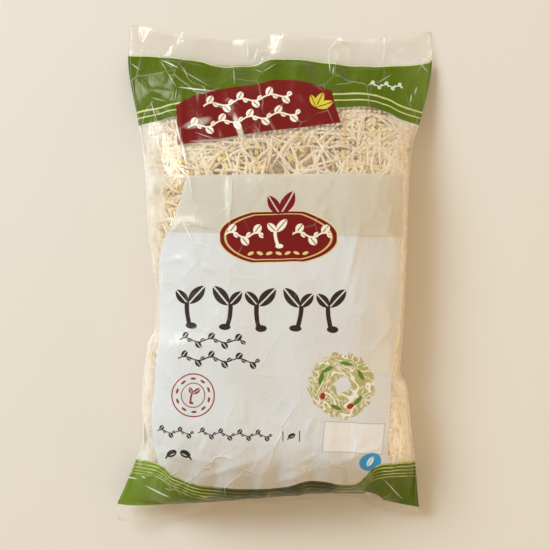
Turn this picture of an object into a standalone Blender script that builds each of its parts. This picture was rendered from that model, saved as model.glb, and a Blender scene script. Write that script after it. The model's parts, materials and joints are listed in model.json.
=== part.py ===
"""A one-kilogram pillow bag of mung bean sprouts, lying on its back.

+X is the bag's right side, +Y its top end and +Z points up out of its printed front.
The origin is on the surface that the bag lies on, under the middle of its outline.
"""

import math
import random

import bmesh
import bpy
import numpy as np
from mathutils import Vector

MM = 0.001

# The film, which is thicker here than the real 0.05 mm so that it is a sound solid.
WALL = 0.6 * MM
TOP_SEAL = 184.0 * MM
BOTTOM_SEAL = -190.0 * MM
TOP_STRIP = 22.0 * MM
BOTTOM_STRIP = 16.0 * MM

# The outline seen from above: where the film's left and right edges lie at each y, in millimetres.
LEFT_EDGE = [
    (-206, -126.5),
    (-192, -128.0),
    (-177, -121.0),
    (-160, -113.5),
    (-143, -107.5),
    (-111, -108.5),
    (-63, -105.0),
    (-50, -99.0),
    (-26, -98.0),
    (0, -101.5),
    (30, -106.0),
    (70, -109.0),
    (99, -112.5),
    (122, -117.0),
    (181, -128.0),
    (206, -127.5),
]
RIGHT_EDGE = [
    (-206, 128.0),
    (-193, 124.5),
    (-160, 121.0),
    (-131, 116.5),
    (-93, 112.0),
    (-80, 106.0),
    (-60, 107.0),
    (0, 109.0),
    (56, 109.5),
    (104, 112.0),
    (126, 118.5),
    (184, 129.0),
    (206, 128.0),
]

# The film lies flat against itself for this far in from each side edge.
SIDE_MARGIN = [(-206, 9), (-190, 9), (-170, 4), (-150, 1.2), (130, 1.2), (155, 3.5), (184, 8), (206, 8)]

# The height of the side edges, and how far the front rises and the back drops from it.
EDGE_HEIGHT = [(-190, 15), (-165, 21), (-120, 27), (60, 28), (110, 22), (150, 12), (184, 5)]
FRONT_RISE = [
    (-190, 0.8),
    (-188, 10.0),
    (-182, 22.0),
    (-172, 30.0),
    (-150, 36.5),
    (-110, 39.0),
    (-50, 40.0),
    (20, 37.0),
    (80, 33.0),
    (110, 27.5),
    (140, 19.0),
    (167, 9.0),
    (184, 0.8),
]
BACK_DROP = [
    (-190, 0.8),
    (-186, 8.0),
    (-176, 20.0),
    (-150, 29.0),
    (60, 30.0),
    (110, 24.0),
    (150, 12.0),
    (172, 4.0),
    (184, 0.8),
]
LEAST_RISE = 0.15 * MM

# How round the bag's section is: a half is a full ellipse, above one leaves flat ears at the sides.
SECTION_POWER = [
    (-190, 1.25),
    (-180, 0.95),
    (-160, 0.62),
    (-130, 0.5),
    (90, 0.5),
    (130, 0.7),
    (160, 1.1),
    (184, 1.35),
]
SECTION_SHAPE = 2.5

# How far the filling draws each end seal in towards the middle, from the left edge to the right.
TOP_PULL = [(-1, 0.0), (-0.6, 3.5), (-0.24, 7.5), (0.3, 4.5), (0.6, 6.5), (1, 0.0)]
BOTTOM_PULL = [(-1, -1), (-0.9, -2), (-0.35, 0), (0, 3), (0.36, 7), (0.62, 7.5), (0.8, 0), (1, -2)]
PULL_REACH = 45.0 * MM

# How steeply each sealed end strip slopes down from its seal, in degrees, from left to right.
TOP_SLOPE = [(-1, 3), (1, 3)]
BOTTOM_SLOPE = [(-1, 5), (-0.8, 25), (-0.5, 52), (0.5, 58), (0.8, 40), (1, 30)]

# Creases: gathers that fan out from the seals, and shallow dents over the filled part.
GATHER_HEIGHT = 2.2 * MM
GATHER_REACH = 34.0 * MM
GATHERS_ACROSS = 4.5
GATHER_OFFSET = 0.07
DENT_HEIGHT = 1.1 * MM
SEAL_WAVE = 1.8 * MM
SEAL_WAVE_LENGTH = 88.0 * MM
SEAL_WAVE_START = 0.9

# Each dent wave: turns of phase across half the bag, turns along a metre of it, and its share.
DENT_WAVES = [(1.8, 3.3, 0.5), (0.4, 13.2, 0.5), (1.5, 14.0, 0.6)]

# The back seam: a flap of both film edges, sealed together and folded flat.
SEAM_THICKNESS = 0.6 * MM
SEAM_TENT_REACH = 22.0 * MM
SEAM_TENT_SLOPE = 14.0 * MM
SEAM_COLUMN = 9

# Vent holes in the clear window, larger than life.
VENT_SIDE = 2.4 * MM
VENT_ROWS = (23, 26)
VENT_COLUMNS = (3, 9, 14)

FRONT_COLUMNS = 18
STRIP_PARTS = (0.2, 0.6, 1.0)
LEAST_STRIP_HEIGHT = WALL + SEAM_THICKNESS
NORMAL_STEP = 0.004
EDGE_TURN = 0.012

# Six bunches of sprouts fill the bag: two across and three along it.
BUNCH_BANDS = {"bottom": (-174, -62), "middle": (-60, 50), "top": (52, 158)}
BUNCH_SIDES = {"left": (-0.2485, 0.2485), "right": (0.2515, 0.7485)}

# Each bunch's seed, one with which its sprouts cross well or not at all.
BUNCH_SEEDS = {
    "bottom_left": 11,
    "bottom_right": 32,
    "middle_left": 13,
    "middle_right": 14,
    "top_left": 15,
    "top_right": 26,
}
BUNCH_ROWS = 10
BUNCH_COLUMNS = 19
BUNCH_DEPTH = 2.8 * MM
SPINE_INSET = 40.0 * MM
LEAST_SQUARE = 0.4
SPROUTS_PER_BUNCH = 12
SPROUT_SIDES = 4
STEM_DEPTHS = (2.7 * MM, 3.4 * MM)
TURN_MARGIN = 0.014
BAND_MARGIN = 3.2 * MM

# Each section of a sprout from root tip to bean: step along it, radius, and extra depth, in millimetres.
SPROUT_SECTIONS = [
    (0.0, 0.5, 0.0),
    (11.0, 1.2, 0.0),
    (12.0, 1.6, 0.0),
    (13.0, 1.6, 0.0),
    (12.0, 1.5, 0.0),
    (4.0, 1.2, 0.2),
    (2.6, 2.6, 1.2),
    (3.2, 2.8, 1.3),
    (3.4, 0.7, 0.6),
]


def along(stations, place):
    """The value at a place on a smooth curve through (place, value) stations that never overshoots."""
    places, values = np.array(stations, float).T
    rises = np.diff(values) / np.diff(places)
    slopes = np.concatenate([rises[:1], np.zeros(len(rises) - 1), rises[-1:]])
    for n in range(1, len(rises)):
        if rises[n - 1] * rises[n] > 0:
            slopes[n] = 2 * rises[n - 1] * rises[n] / (rises[n - 1] + rises[n])
    n = int(np.clip(np.searchsorted(places, place) - 1, 0, len(rises) - 1))
    width = places[n + 1] - places[n]
    t = min(max((place - places[n]) / width, 0.0), 1.0)
    return float(
        values[n] * (1 + 2 * t) * (1 - t) ** 2
        + values[n + 1] * t * t * (3 - 2 * t)
        + width * t * (1 - t) * (slopes[n] * (1 - t) - slopes[n + 1] * t)
    )


def profile(stations, y):
    """A length from one of the tables in millimetres, at y in metres."""
    return along(stations, y / MM) * MM


def ramp(value):
    """0 below 0 and 1 above 1, with a smooth rise between."""
    t = min(max(value, 0.0), 1.0)
    return t * t * (3 - 2 * t)


def end_pull(across, y):
    """How far a point moves along y because the filling draws the ends in."""
    at_top = ramp(1 - (TOP_SEAL - y) / PULL_REACH)
    at_bottom = ramp(1 - (y - BOTTOM_SEAL) / PULL_REACH)
    return at_bottom * along(BOTTOM_PULL, across) * MM - at_top * along(TOP_PULL, across) * MM


def seal_wave(x, y):
    """The ripple of the end seals, which fades into the filled part."""
    near = max(ramp(1 - (TOP_SEAL - y) / GATHER_REACH), ramp(1 - (y - BOTTOM_SEAL) / GATHER_REACH))
    return near * SEAL_WAVE * math.sin(2 * math.pi * x / SEAL_WAVE_LENGTH + math.copysign(SEAL_WAVE_START, y))


def creases(across, y, front):
    """How far the film stands out from the plain pillow, because it is gathered and dented."""
    side = 1.0 if front else -1.0
    near_top = math.exp(-max(TOP_SEAL - y, 0.0) / GATHER_REACH)
    near_bottom = math.exp(-max(y - BOTTOM_SEAL, 0.0) / GATHER_REACH)
    gathers = math.cos(2 * math.pi * GATHERS_ACROSS * (across + GATHER_OFFSET * side))
    gathers *= max(near_top, near_bottom)
    dents = sum(
        share * math.sin(2 * math.pi * (per_half * across + per_metre * y) + side * n)
        for n, (per_half, per_metre, share) in enumerate(DENT_WAVES, 1)
    )
    filled = (1 - near_top) * (1 - near_bottom)
    return (GATHER_HEIGHT * gathers + DENT_HEIGHT * dents * filled) * (1 - across**4)


def seam_tent(x, y):
    """How far the back is lifted off the surface beside the folded seam."""
    middle = seam_middle(y)
    return SEAM_THICKNESS * ramp((SEAM_TENT_REACH - abs(x - middle)) / SEAM_TENT_SLOPE)


def edges(y):
    """The x of the hollow's left and right edges."""
    margin = profile(SIDE_MARGIN, y)
    return profile(LEFT_EDGE, y) + margin, profile(RIGHT_EDGE, y) - margin


def across_of(turn):
    """-1 at the left edge and 1 at the right edge, for a turn round the bag."""
    return -math.cos(2 * math.pi * turn)


def seam_middle(y):
    """The x of the middle of the back seam."""
    left, right = edges(y)
    column = 1 - (SEAM_COLUMN + 0.5) / (2 * FRONT_COLUMNS)
    return left + (right - left) * (across_of(column) + 1) / 2


def hollow_point(turn, y):
    """A point of the film's inner face.

    A turn goes once round the bag: 0 at the left edge, 0.25 on the front, 0.5 at the right edge
    and 0.75 underneath.
    """
    turn %= 1.0
    front = turn < 0.5
    across = across_of(turn)
    left, right = edges(y)
    x = left + (right - left) * (across + 1) / 2
    fullness = max(1 - abs(across) ** SECTION_SHAPE, 0.0) ** along(SECTION_POWER, y / MM)
    height = profile(EDGE_HEIGHT, y) + seal_wave(x, y)
    crease = creases(across, y, front) * min(1.0, fullness * 2)
    if front:
        z = height + max(profile(FRONT_RISE, y) * fullness + crease, LEAST_RISE * fullness)
    else:
        z = height - max(profile(BACK_DROP, y) * fullness + crease, LEAST_RISE * fullness)
        z = max(z, WALL + seam_tent(x, y))
    return Vector((x, y + end_pull(across, y), z))


def hollow_normal(turn, y):
    """The direction that points out of the bag at a place on its inner face."""
    step = NORMAL_STEP
    round_it = hollow_point(turn + step, y) - hollow_point(turn - step, y)
    along_it = hollow_point(turn, y + step) - hollow_point(turn, y - step)
    return round_it.cross(along_it).normalized()


def lip_normal(turn, y, inwards):
    """The same direction at a side edge, measured a little way in from it."""
    near = turn + EDGE_TURN * inwards
    step = EDGE_TURN / 2
    round_it = hollow_point(near + step, y) - hollow_point(near - step, y)
    along_it = hollow_point(near, y + NORMAL_STEP) - hollow_point(near, y - NORMAL_STEP)
    return round_it.cross(along_it).normalized()


def inside_point(turn, y, depth):
    """A point at a depth below the film's inner face, moved in towards the middle of the filling."""
    place = hollow_point(turn, y)
    left, right = edges(y)
    middle_x = min(max(place.x, left + SPINE_INSET), right - SPINE_INSET)
    inward = (Vector((middle_x, place.y, profile(EDGE_HEIGHT, y))) - place).normalized()
    square = -inward.dot(hollow_normal(turn, y))
    return place + inward * depth / max(square, LEAST_SQUARE)


def film_stations():
    """The y of each row of the hollow, close together where the ends curve most."""
    near_bottom = [-190, -188.5, -186.5, -183.5, -179, -173, -165, -156]
    middle = list(np.linspace(-146, 140, 19))
    near_top = [152, 162, 171, 178, 184]
    return [y * MM for y in near_bottom + middle + near_top]


def hollow_row(bm, y):
    """Front and back chains of vertices of the hollow, from left to right. They share both ends."""
    turns = [k / (2 * FRONT_COLUMNS) for k in range(FRONT_COLUMNS + 1)]
    front = [bm.verts.new(hollow_point(turn, y)) for turn in turns]
    inner = [bm.verts.new(hollow_point(1 - turn, y)) for turn in turns[1:-1]]
    return front, [front[0], *inner, front[-1]]


def skin_row(bm, y):
    """Front and back chains of the bag's outer face at a row where the bag is hollow."""
    columns = range(1, FRONT_COLUMNS)
    turns = [k / (2 * FRONT_COLUMNS) for k in columns]
    left, right = hollow_point(0, y), hollow_point(0.5, y)
    tips = (
        bm.verts.new((profile(LEFT_EDGE, y), left.y, left.z)),
        bm.verts.new((profile(RIGHT_EDGE, y), right.y, right.z)),
    )
    front = [
        left + WALL * lip_normal(0, y, 1),
        *[hollow_point(turn, y) + WALL * hollow_normal(turn, y) for turn in turns],
        right + WALL * lip_normal(0.5, y, -1),
    ]
    back = [
        left + WALL * lip_normal(0, y, -1),
        *[hollow_point(1 - turn, y) + WALL * hollow_normal(1 - turn, y) for turn in turns],
        right + WALL * lip_normal(0.5, y, 1),
    ]
    return chains_with_seam(bm, tips, front, back)


def strip_row(bm, at_top, part):
    """Front and back chains of the bag's outer face on an end strip, where both films are sealed together.

    The part is how far along the strip the row is, from 0 at the seal to 1 at the bag's end.
    """
    seal, length = (TOP_SEAL, TOP_STRIP) if at_top else (BOTTOM_SEAL, -BOTTOM_STRIP)
    slopes = TOP_SLOPE if at_top else BOTTOM_SLOPE
    left, right = edges(seal)
    front, back = [], []
    for k in range(FRONT_COLUMNS + 1):
        across = across_of(k / (2 * FRONT_COLUMNS))
        x = left + (right - left) * (across + 1) / 2
        slope = math.radians(along(slopes, across))
        y = seal + end_pull(across, seal) + part * length * math.cos(slope)
        height = profile(EDGE_HEIGHT, seal) + seal_wave(x, seal) - part * abs(length) * math.sin(slope)
        middle = Vector((x, y, max(height, LEAST_STRIP_HEIGHT)))
        front.append(middle + Vector((0, 0, WALL)))
        back.append(middle - Vector((0, 0, WALL)))
    tips = (
        bm.verts.new((profile(LEFT_EDGE, seal + part * length), front[0].y, front[0].z - WALL)),
        bm.verts.new((profile(RIGHT_EDGE, seal + part * length), front[-1].y, front[-1].z - WALL)),
    )
    return chains_with_seam(bm, tips, front, back)


def chains_with_seam(bm, tips, front, back):
    """Adds the side tips to both chains, and the back seam's two lower corners to the back one."""
    drop = Vector((0, 0, SEAM_THICKNESS))
    front_chain = [tips[0], *[bm.verts.new(p) for p in front], tips[1]]
    back_chain = [tips[0]]
    for k, point in enumerate(back):
        back_chain.append(bm.verts.new(point))
        if k in (SEAM_COLUMN, SEAM_COLUMN + 1):
            back_chain.append(bm.verts.new(point - drop))
            if k == SEAM_COLUMN + 1:
                back_chain[-1], back_chain[-2] = back_chain[-2], back_chain[-1]
    back_chain.append(tips[1])
    return front_chain, back_chain


def join_rows(bm, first, second, open_cells=()):
    """Faces between two rows, each a front and a back chain. Cells left open are on the front."""
    for side, (a, b) in enumerate(zip(first, second)):
        for k in range(len(a) - 1):
            if side == 0 and k in open_cells:
                continue
            corners = [a[k], a[k + 1], b[k + 1], b[k]]
            bm.faces.new(list(dict.fromkeys(corners)))


def close_end(bm, row, seam_at=None):
    """Faces between a row's front and back chains, which close an end."""
    front, back = row
    k = 0
    for n in range(len(front) - 1):
        last = k + (3 if n == seam_at else 1)
        corners = [front[n], front[n + 1], *reversed(back[k : last + 1])]
        bm.faces.new(list(dict.fromkeys(corners)))
        k = last


def vent(bm, outer, inner):
    """A square hole through one cell of the film, from its four outer corners to its four inner ones."""
    side = (outer[0].co - outer[1].co).length
    shrink = VENT_SIDE / side
    rims = []
    for corners in (outer, inner):
        middle = sum((v.co for v in corners), Vector()) / 4
        rim = [bm.verts.new(middle.lerp(v.co, shrink)) for v in corners]
        for n in range(4):
            bm.faces.new([corners[n - 1], corners[n], rim[n], rim[n - 1]])
        rims.append(rim)
    for n in range(4):
        bm.faces.new([rims[0][n - 1], rims[0][n], rims[1][n], rims[1][n - 1]])


def new_object(name, bm, material, parent):
    """An object from a bmesh, shaded smooth except at its sharp edges."""
    mesh = bpy.data.meshes.new(name)
    bm.to_mesh(mesh)
    bm.free()
    mesh.materials.append(material)
    mesh.shade_smooth()
    mesh.set_sharp_from_angle(angle=math.radians(50))
    made = bpy.data.objects.new(name, mesh)
    bpy.context.scene.collection.objects.link(made)
    made.parent = parent
    return made


def film_bag(material, parent):
    """The whole bag: one tube of film with a hollow, two end seals, a back seam and vent holes."""
    bm = bmesh.new()
    stations = film_stations()
    hollow = [hollow_row(bm, y) for y in stations]
    top_strip = [strip_row(bm, True, part) for part in STRIP_PARTS]
    bottom_strip = [strip_row(bm, False, part) for part in reversed(STRIP_PARTS)]
    skin = bottom_strip + [skin_row(bm, y) for y in stations] + top_strip
    for n in range(len(hollow) - 1):
        vents = VENT_COLUMNS if n in VENT_ROWS else ()
        join_rows(bm, hollow[n], hollow[n + 1], vents)
    for n in range(len(skin) - 1):
        vents = [k + 1 for k in VENT_COLUMNS] if n - len(bottom_strip) in VENT_ROWS else ()
        join_rows(bm, skin[n], skin[n + 1], vents)
    for n in VENT_ROWS:
        for k in VENT_COLUMNS:
            rows = skin[n + len(bottom_strip)][0], skin[n + len(bottom_strip) + 1][0]
            outer = [rows[0][k + 1], rows[0][k + 2], rows[1][k + 2], rows[1][k + 1]]
            inner = [hollow[n][0][k], hollow[n][0][k + 1], hollow[n + 1][0][k + 1], hollow[n + 1][0][k]]
            vent(bm, outer, inner)
    for row in (hollow[0], hollow[-1]):
        close_end(bm, row)
    for row in (skin[0], skin[-1]):
        close_end(bm, row, seam_at=SEAM_COLUMN + 1)
    bmesh.ops.recalc_face_normals(bm, faces=bm.faces)
    return new_object("film_bag", bm, material, parent)


def loft(bm, rings):
    """A closed solid through a list of rings of points."""
    rows = [[bm.verts.new(p) for p in ring] for ring in rings]
    for a, b in zip(rows, rows[1:]):
        for k in range(len(a)):
            bm.faces.new([a[k - 1], a[k], b[k], b[k - 1]])
    bm.faces.new(rows[0])
    bm.faces.new(rows[-1])
    bmesh.ops.recalc_face_normals(bm, faces=bm.faces)


def bunch_core(name, band, turns, material, parent):
    """The packed middle of a bunch, which its outer sprouts are sunk into."""
    bm = bmesh.new()
    rings = []
    for y in np.linspace(*band, BUNCH_ROWS):
        ring_turns = np.linspace(*turns, BUNCH_COLUMNS)
        rings.append([inside_point(turn, y * MM, BUNCH_DEPTH) for turn in ring_turns])
    loft(bm, rings)
    return new_object(name, bm, material, parent)


def sprout_path(rng, band, turns):
    """Turns and y of each section of a sprout that stays within its bunch, or None."""
    turn = rng.uniform(*turns)
    y = rng.uniform(band[0] * MM, band[1] * MM)
    heading = rng.uniform(-math.pi, math.pi)
    bend = rng.uniform(-0.14, 0.14)
    path = []
    for step, _, _ in SPROUT_SECTIONS:
        stretch = (hollow_point(turn + NORMAL_STEP, y) - hollow_point(turn, y)).length / NORMAL_STEP
        turn += step * MM * math.cos(heading) / max(stretch, 0.1)
        y += step * MM * math.sin(heading)
        heading += bend
        path.append((turn, y))
    inside = all(
        turns[0] + TURN_MARGIN < t < turns[1] - TURN_MARGIN
        and band[0] * MM + BAND_MARGIN < y < band[1] * MM - BAND_MARGIN
        for t, y in path
    )
    return path if inside else None


def sprout(name, rng, path, material, parent):
    """One sprout with its thin root, stem and bean, lying just under the film."""
    depth = rng.uniform(*STEM_DEPTHS)
    places = [
        inside_point(turn, y, depth + extra * MM)
        for (turn, y), (_, _, extra) in zip(path, SPROUT_SECTIONS)
    ]
    rings = []
    for n, (place, (turn, y), (_, radius, _)) in enumerate(zip(places, path, SPROUT_SECTIONS)):
        ahead = places[min(n + 1, len(places) - 1)] - places[max(n - 1, 0)]
        sideways = ahead.cross(hollow_normal(turn, y)).normalized()
        up = sideways.cross(ahead).normalized()
        ring = []
        for k in range(SPROUT_SIDES):
            angle = 2 * math.pi * (k + 0.5) / SPROUT_SIDES
            ring.append(place + radius * MM * (sideways * math.cos(angle) + up * math.sin(angle)))
        rings.append(ring)
    bm = bmesh.new()
    loft(bm, rings)
    return new_object(name, bm, material, parent)


def drop_scraps(made):
    """Keeps only the largest piece of a mesh whose faces are joined edge to edge."""
    bm = bmesh.new()
    bm.from_mesh(made.data)
    unseen, groups = set(bm.faces), []
    while unseen:
        group, waiting = [], [unseen.pop()]
        while waiting:
            face = waiting.pop()
            group.append(face)
            simple = [edge for edge in face.edges if len(edge.link_faces) == 2]
            near = {other for edge in simple for other in edge.link_faces} & unseen
            unseen -= near
            waiting.extend(near)
        groups.append(group)
    groups.sort(key=len)
    scraps = [face for group in groups[:-1] for face in group]
    bmesh.ops.delete(bm, geom=scraps, context="FACES")
    bm.to_mesh(made.data)
    bm.free()


def sprout_bunch(name, band, turns, seed, material, parent):
    """A bunch: its core with sprouts lying over its front, side and back, joined into one solid."""
    rng = random.Random(seed)
    core = bunch_core(name, band, turns, material, parent)
    loose = bpy.data.collections.new(name + "_sprouts")
    bpy.context.scene.collection.children.link(loose)
    while len(loose.objects) < SPROUTS_PER_BUNCH:
        path = sprout_path(rng, band, turns)
        if path is None:
            continue
        made = sprout(f"sprout_{len(loose.objects)}", rng, path, material, None)
        bpy.context.scene.collection.objects.unlink(made)
        loose.objects.link(made)
    union = core.modifiers.new("join_sprouts", "BOOLEAN")
    union.operation = "UNION"
    union.solver = "MANIFOLD"
    union.operand_type = "COLLECTION"
    union.collection = loose
    bpy.context.view_layer.objects.active = core
    bpy.ops.object.modifier_apply(modifier=union.name)
    for made in list(loose.objects):
        bpy.data.objects.remove(made)
    bpy.data.collections.remove(loose)
    drop_scraps(core)


def film_material():
    """Clear glossy film."""
    material = bpy.data.materials.new("clear_film")
    material.use_nodes = True
    shader = material.node_tree.nodes["Principled BSDF"]
    shader.inputs["Base Color"].default_value = (0.90, 0.91, 0.86, 1)
    shader.inputs["Roughness"].default_value = 0.2
    shader.inputs["Metallic"].default_value = 0.0
    shader.inputs["Alpha"].default_value = 0.45
    return material


def sprout_material():
    """Cream, slightly moist sprout flesh."""
    material = bpy.data.materials.new("sprout_flesh")
    material.use_nodes = True
    shader = material.node_tree.nodes["Principled BSDF"]
    shader.inputs["Base Color"].default_value = (0.84, 0.76, 0.56, 1)
    shader.inputs["Roughness"].default_value = 0.45
    shader.inputs["Metallic"].default_value = 0.0
    return material


def main():
    for old in list(bpy.data.objects):
        bpy.data.objects.remove(old)
    parent = bpy.data.objects.new("bag_of_sprouts", None)
    bpy.context.scene.collection.objects.link(parent)
    film_bag(film_material(), parent)
    flesh = sprout_material()
    for place, band in BUNCH_BANDS.items():
        for side, turns in BUNCH_SIDES.items():
            name = f"{place}_{side}"
            sprout_bunch(f"sprouts_{name}", band, turns, BUNCH_SEEDS[name], flesh, parent)


main()
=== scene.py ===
"""The looks of a filled bag of mung bean sprouts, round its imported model.

A printed clear film is drawn tight over a filling of loose sprouts, which show through its
window and along its sides. The bag lies on its back on a pale floor, seen from above.
Sizes in the tables are millimetres, and Blender's own are metres.
"""

import json
import math

import bpy
import numpy as np
from bpy.props import FloatProperty, FloatVectorProperty, IntProperty, PointerProperty
from bpy.types import Operator, Panel, PropertyGroup
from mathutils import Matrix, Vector, noise

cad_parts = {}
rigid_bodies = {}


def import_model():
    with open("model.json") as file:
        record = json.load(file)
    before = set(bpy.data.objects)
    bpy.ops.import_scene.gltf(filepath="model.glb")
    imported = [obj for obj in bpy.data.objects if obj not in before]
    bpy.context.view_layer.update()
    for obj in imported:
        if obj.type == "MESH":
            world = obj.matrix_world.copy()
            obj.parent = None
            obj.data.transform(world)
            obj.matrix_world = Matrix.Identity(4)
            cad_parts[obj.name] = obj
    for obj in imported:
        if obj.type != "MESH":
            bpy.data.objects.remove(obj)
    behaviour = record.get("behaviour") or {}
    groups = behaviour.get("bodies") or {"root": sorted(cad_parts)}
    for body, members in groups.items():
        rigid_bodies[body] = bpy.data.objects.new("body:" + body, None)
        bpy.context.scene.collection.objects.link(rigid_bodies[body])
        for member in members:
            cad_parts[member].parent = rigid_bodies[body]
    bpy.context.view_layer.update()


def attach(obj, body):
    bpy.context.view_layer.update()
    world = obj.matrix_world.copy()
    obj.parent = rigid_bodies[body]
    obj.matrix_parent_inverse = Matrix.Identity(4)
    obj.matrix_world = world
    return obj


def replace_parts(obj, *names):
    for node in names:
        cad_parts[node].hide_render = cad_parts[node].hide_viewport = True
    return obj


bl_info = {
    "name": "Bag of bean sprouts",
    "version": (1, 0, 0),
    "blender": (4, 5, 0),
    "location": "3D View > Sidebar > Sprout Bag",
    "description": "Makes a filled pillow bag of bean sprouts with its print, on a studio floor",
    "category": "Add Mesh",
}

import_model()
BODY = "root"
MM = 0.001
TAU = 2 * math.pi

# The pillow's shape, in the same terms as the solid model.
TOP_SEAL = 184
BOTTOM_SEAL = -190
TOP_STRIP = 22
LEFT_EDGE = [
    (-213, -126),
    (-198, -128.5),
    (-177, -121),
    (-160, -113.5),
    (-143, -107.5),
    (-111, -108.5),
    (-63, -105),
    (-50, -99),
    (-26, -98),
    (0, -101.5),
    (30, -106),
    (70, -109),
    (99, -112.5),
    (122, -117),
    (181, -128),
    (206, -127.5),
]
RIGHT_EDGE = [
    (-206, 128),
    (-193, 125),
    (-160, 121),
    (-131, 116.5),
    (-93, 112),
    (-80, 106),
    (-60, 107),
    (0, 109),
    (56, 109.5),
    (104, 112),
    (126, 118.5),
    (184, 129),
    (206, 128),
]
SIDE_MARGIN = [(-213, 9), (-190, 9), (-170, 4), (-150, 1.2), (130, 1.2), (155, 3.5), (184, 8), (206, 8)]
EDGE_HEIGHT = [(-190, 15), (-165, 21), (-120, 27), (60, 28), (110, 22), (150, 12), (184, 5)]
FRONT_RISE = [
    (-190, 0.6),
    (-188.6, 11),
    (-185.5, 22),
    (-180, 29),
    (-170, 33),
    (-150, 37),
    (-110, 39),
    (-50, 40),
    (20, 37),
    (80, 33),
    (110, 27.5),
    (140, 19),
    (167, 9),
    (184, 0.6),
]
BACK_DROP = [
    (-190, 0.6),
    (-186, 8),
    (-176, 20),
    (-150, 29),
    (60, 30),
    (110, 24),
    (150, 12),
    (172, 4),
    (184, 0.6),
]
SECTION_POWER = [
    (-190, 1.25),
    (-180, 0.95),
    (-160, 0.62),
    (-130, 0.5),
    (90, 0.5),
    (130, 0.7),
    (160, 1.1),
    (184, 1.35),
]
SECTION_SHAPE = 2.5
FILM_OUT = 0.5

# How far the filling draws each end seal in, and how steeply each end strip droops, from left to right.
TOP_PULL = [
    (-1, 0),
    (-0.84, 3.5),
    (-0.55, 7),
    (-0.34, 10.5),
    (-0.2, 10),
    (-0.02, 4.5),
    (0.3, 6),
    (0.6, 8),
    (0.9, 2),
    (1, 0),
]
BOTTOM_PULL = [
    (-1, -4),
    (-0.9, -6),
    (-0.7, -6),
    (-0.35, -3),
    (0, 0.5),
    (0.36, 5.5),
    (0.62, 7.5),
    (0.8, 0),
    (1, -3),
]
PULL_REACH = 45
TOP_SLOPE = [(-1, 3), (1, 3)]
BOTTOM_SLOPE = [(-1, 5), (-0.85, 15), (-0.6, 40), (-0.3, 60), (0.5, 66), (0.8, 55), (1, 45)]
BOTTOM_STRIP = [(-1, 18), (-0.6, 17), (0.6, 15), (1, 12)]

# Gathers that fan out from both seals, and shallow dents.
GATHER_HEIGHT = 2.2
GATHER_REACH = 34
GATHERS_ACROSS = 4.5
GATHER_OFFSET = 0.07
DENT_HEIGHT = 1.1
DENT_WAVES = [(1.8, 3.3, 0.5), (0.4, 13.2, 0.5), (1.5, 14.0, 0.6)]
SEAL_WAVE = 1.8
SEAL_WAVE_LENGTH = 88
SEAL_WAVE_START = 0.9

# Sharp folds of the front film: start, end, height and half width.
FRONT_FOLDS = [
    ((-101, 178), (-83, 168), 1.6, 2.2),
    ((-83, 168), (-56, 152), 1.3, 2.2),
    ((-101, 177), (-86, 153), 1.2, 2.0),
    ((-87, 153), (-53, 150), 1.4, 2.4),
    ((-86, 153), (-88, 140), 1.2, 2.0),
    ((-39, 174), (-36, 158), 1.3, 2.2),
    ((-106, 145), (-102, 122), 1.3, 2.4),
    ((-110, 134), (-97, 131), 1.0, 2.2),
    ((-104, 126), (-84, 112), 1.2, 2.6),
    ((-82, 150), (-78, 101), 1.2, 3.0),
    ((-78, 101), (-66, 55), 1.8, 2.6),
    ((-62, 148), (-40, 104), 1.1, 3.6),
    ((-16, 178), (-20, 165), 1.8, 3.0),
    ((-2, 182), (-14, 160), 1.6, 3.0),
    ((20, 178), (12, 160), 1.0, 2.6),
    ((46, 180), (52, 158), 1.4, 2.6),
    ((88, 178), (80, 158), 1.0, 2.6),
    ((112, 172), (104, 142), 1.5, 3.0),
    ((118, 150), (108, 136), 1.2, 2.4),
    ((-39, 76), (-38, 36), 1.2, 2.6),
    ((-76, 41), (-49, 34), 1.3, 2.2),
    ((-76, 41), (-61, 4), 1.3, 2.4),
    ((-61, 4), (-47, -2), 1.0, 2.4),
    ((-24, 76), (-11, 65), 1.1, 2.6),
    ((69, 42), (57, -16), 1.2, 2.8),
    ((54, 31), (99, 32), 0.9, 2.2),
    ((-88, 28), (-76, 41), 1.2, 2.6),
    ((-92, -30), (-70, -16), 1.0, 3.0),
    ((98, -40), (76, -70), 1.0, 3.2),
    ((-96, -76), (-60, -112), 0.9, 3.4),
    ((-90, -150), (-40, -158), 1.1, 3.6),
    ((-60, -172), (-10, -152), 1.3, 3.8),
    ((0, -174), (42, -158), 1.2, 3.8),
    ((40, -160), (92, -140), 1.0, 3.2),
    ((84, -176), (104, -150), 1.6, 3.4),
    ((-112, -180), (-86, -160), 1.6, 3.4),
    ((96, 60), (88, 26), 1.0, 2.6),
]

# Smaller seeded folds, as many as this, their heights and half widths.
SMALL_FOLDS = 150
SMALL_FOLD_HEIGHTS = (0.25, 0.75)
SMALL_FOLD_WIDTHS = (1.3, 2.6)
SMALL_FOLD_LENGTHS = (10, 38)

# The film's mesh: columns across the front and the back, and its rows, which crowd near both ends.
FRONT_COLUMNS = 200
BACK_COLUMNS = 84
EAR_COLUMNS = 3
BODY_ROWS = 258
ROW_CROWDING = 0.4
STRIP_ROWS = 8

# The back seam.
SEAM_MIDDLE = 12
SEAM_WIDTH = 15
SEAM_ROWS = 120
SEAM_CLEAR = 10
SEAM_LIFT = 0.5
SEAM_TENT_REACH = 22
SEAM_TENT_SLOPE = 14

# How wide a stem is at places from its root tip, 0, to its neck, 1.
STEM_WIDTHS = [(0, 0.22), (0.1, 0.4), (0.24, 0.78), (0.45, 1.0), (0.8, 1.02), (0.93, 0.85), (1, 0.7)]

# Sprouts are drawn as densely all round the bag, whose film is this many millimetres a turn at most.
STRETCH_MOST = 420

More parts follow.
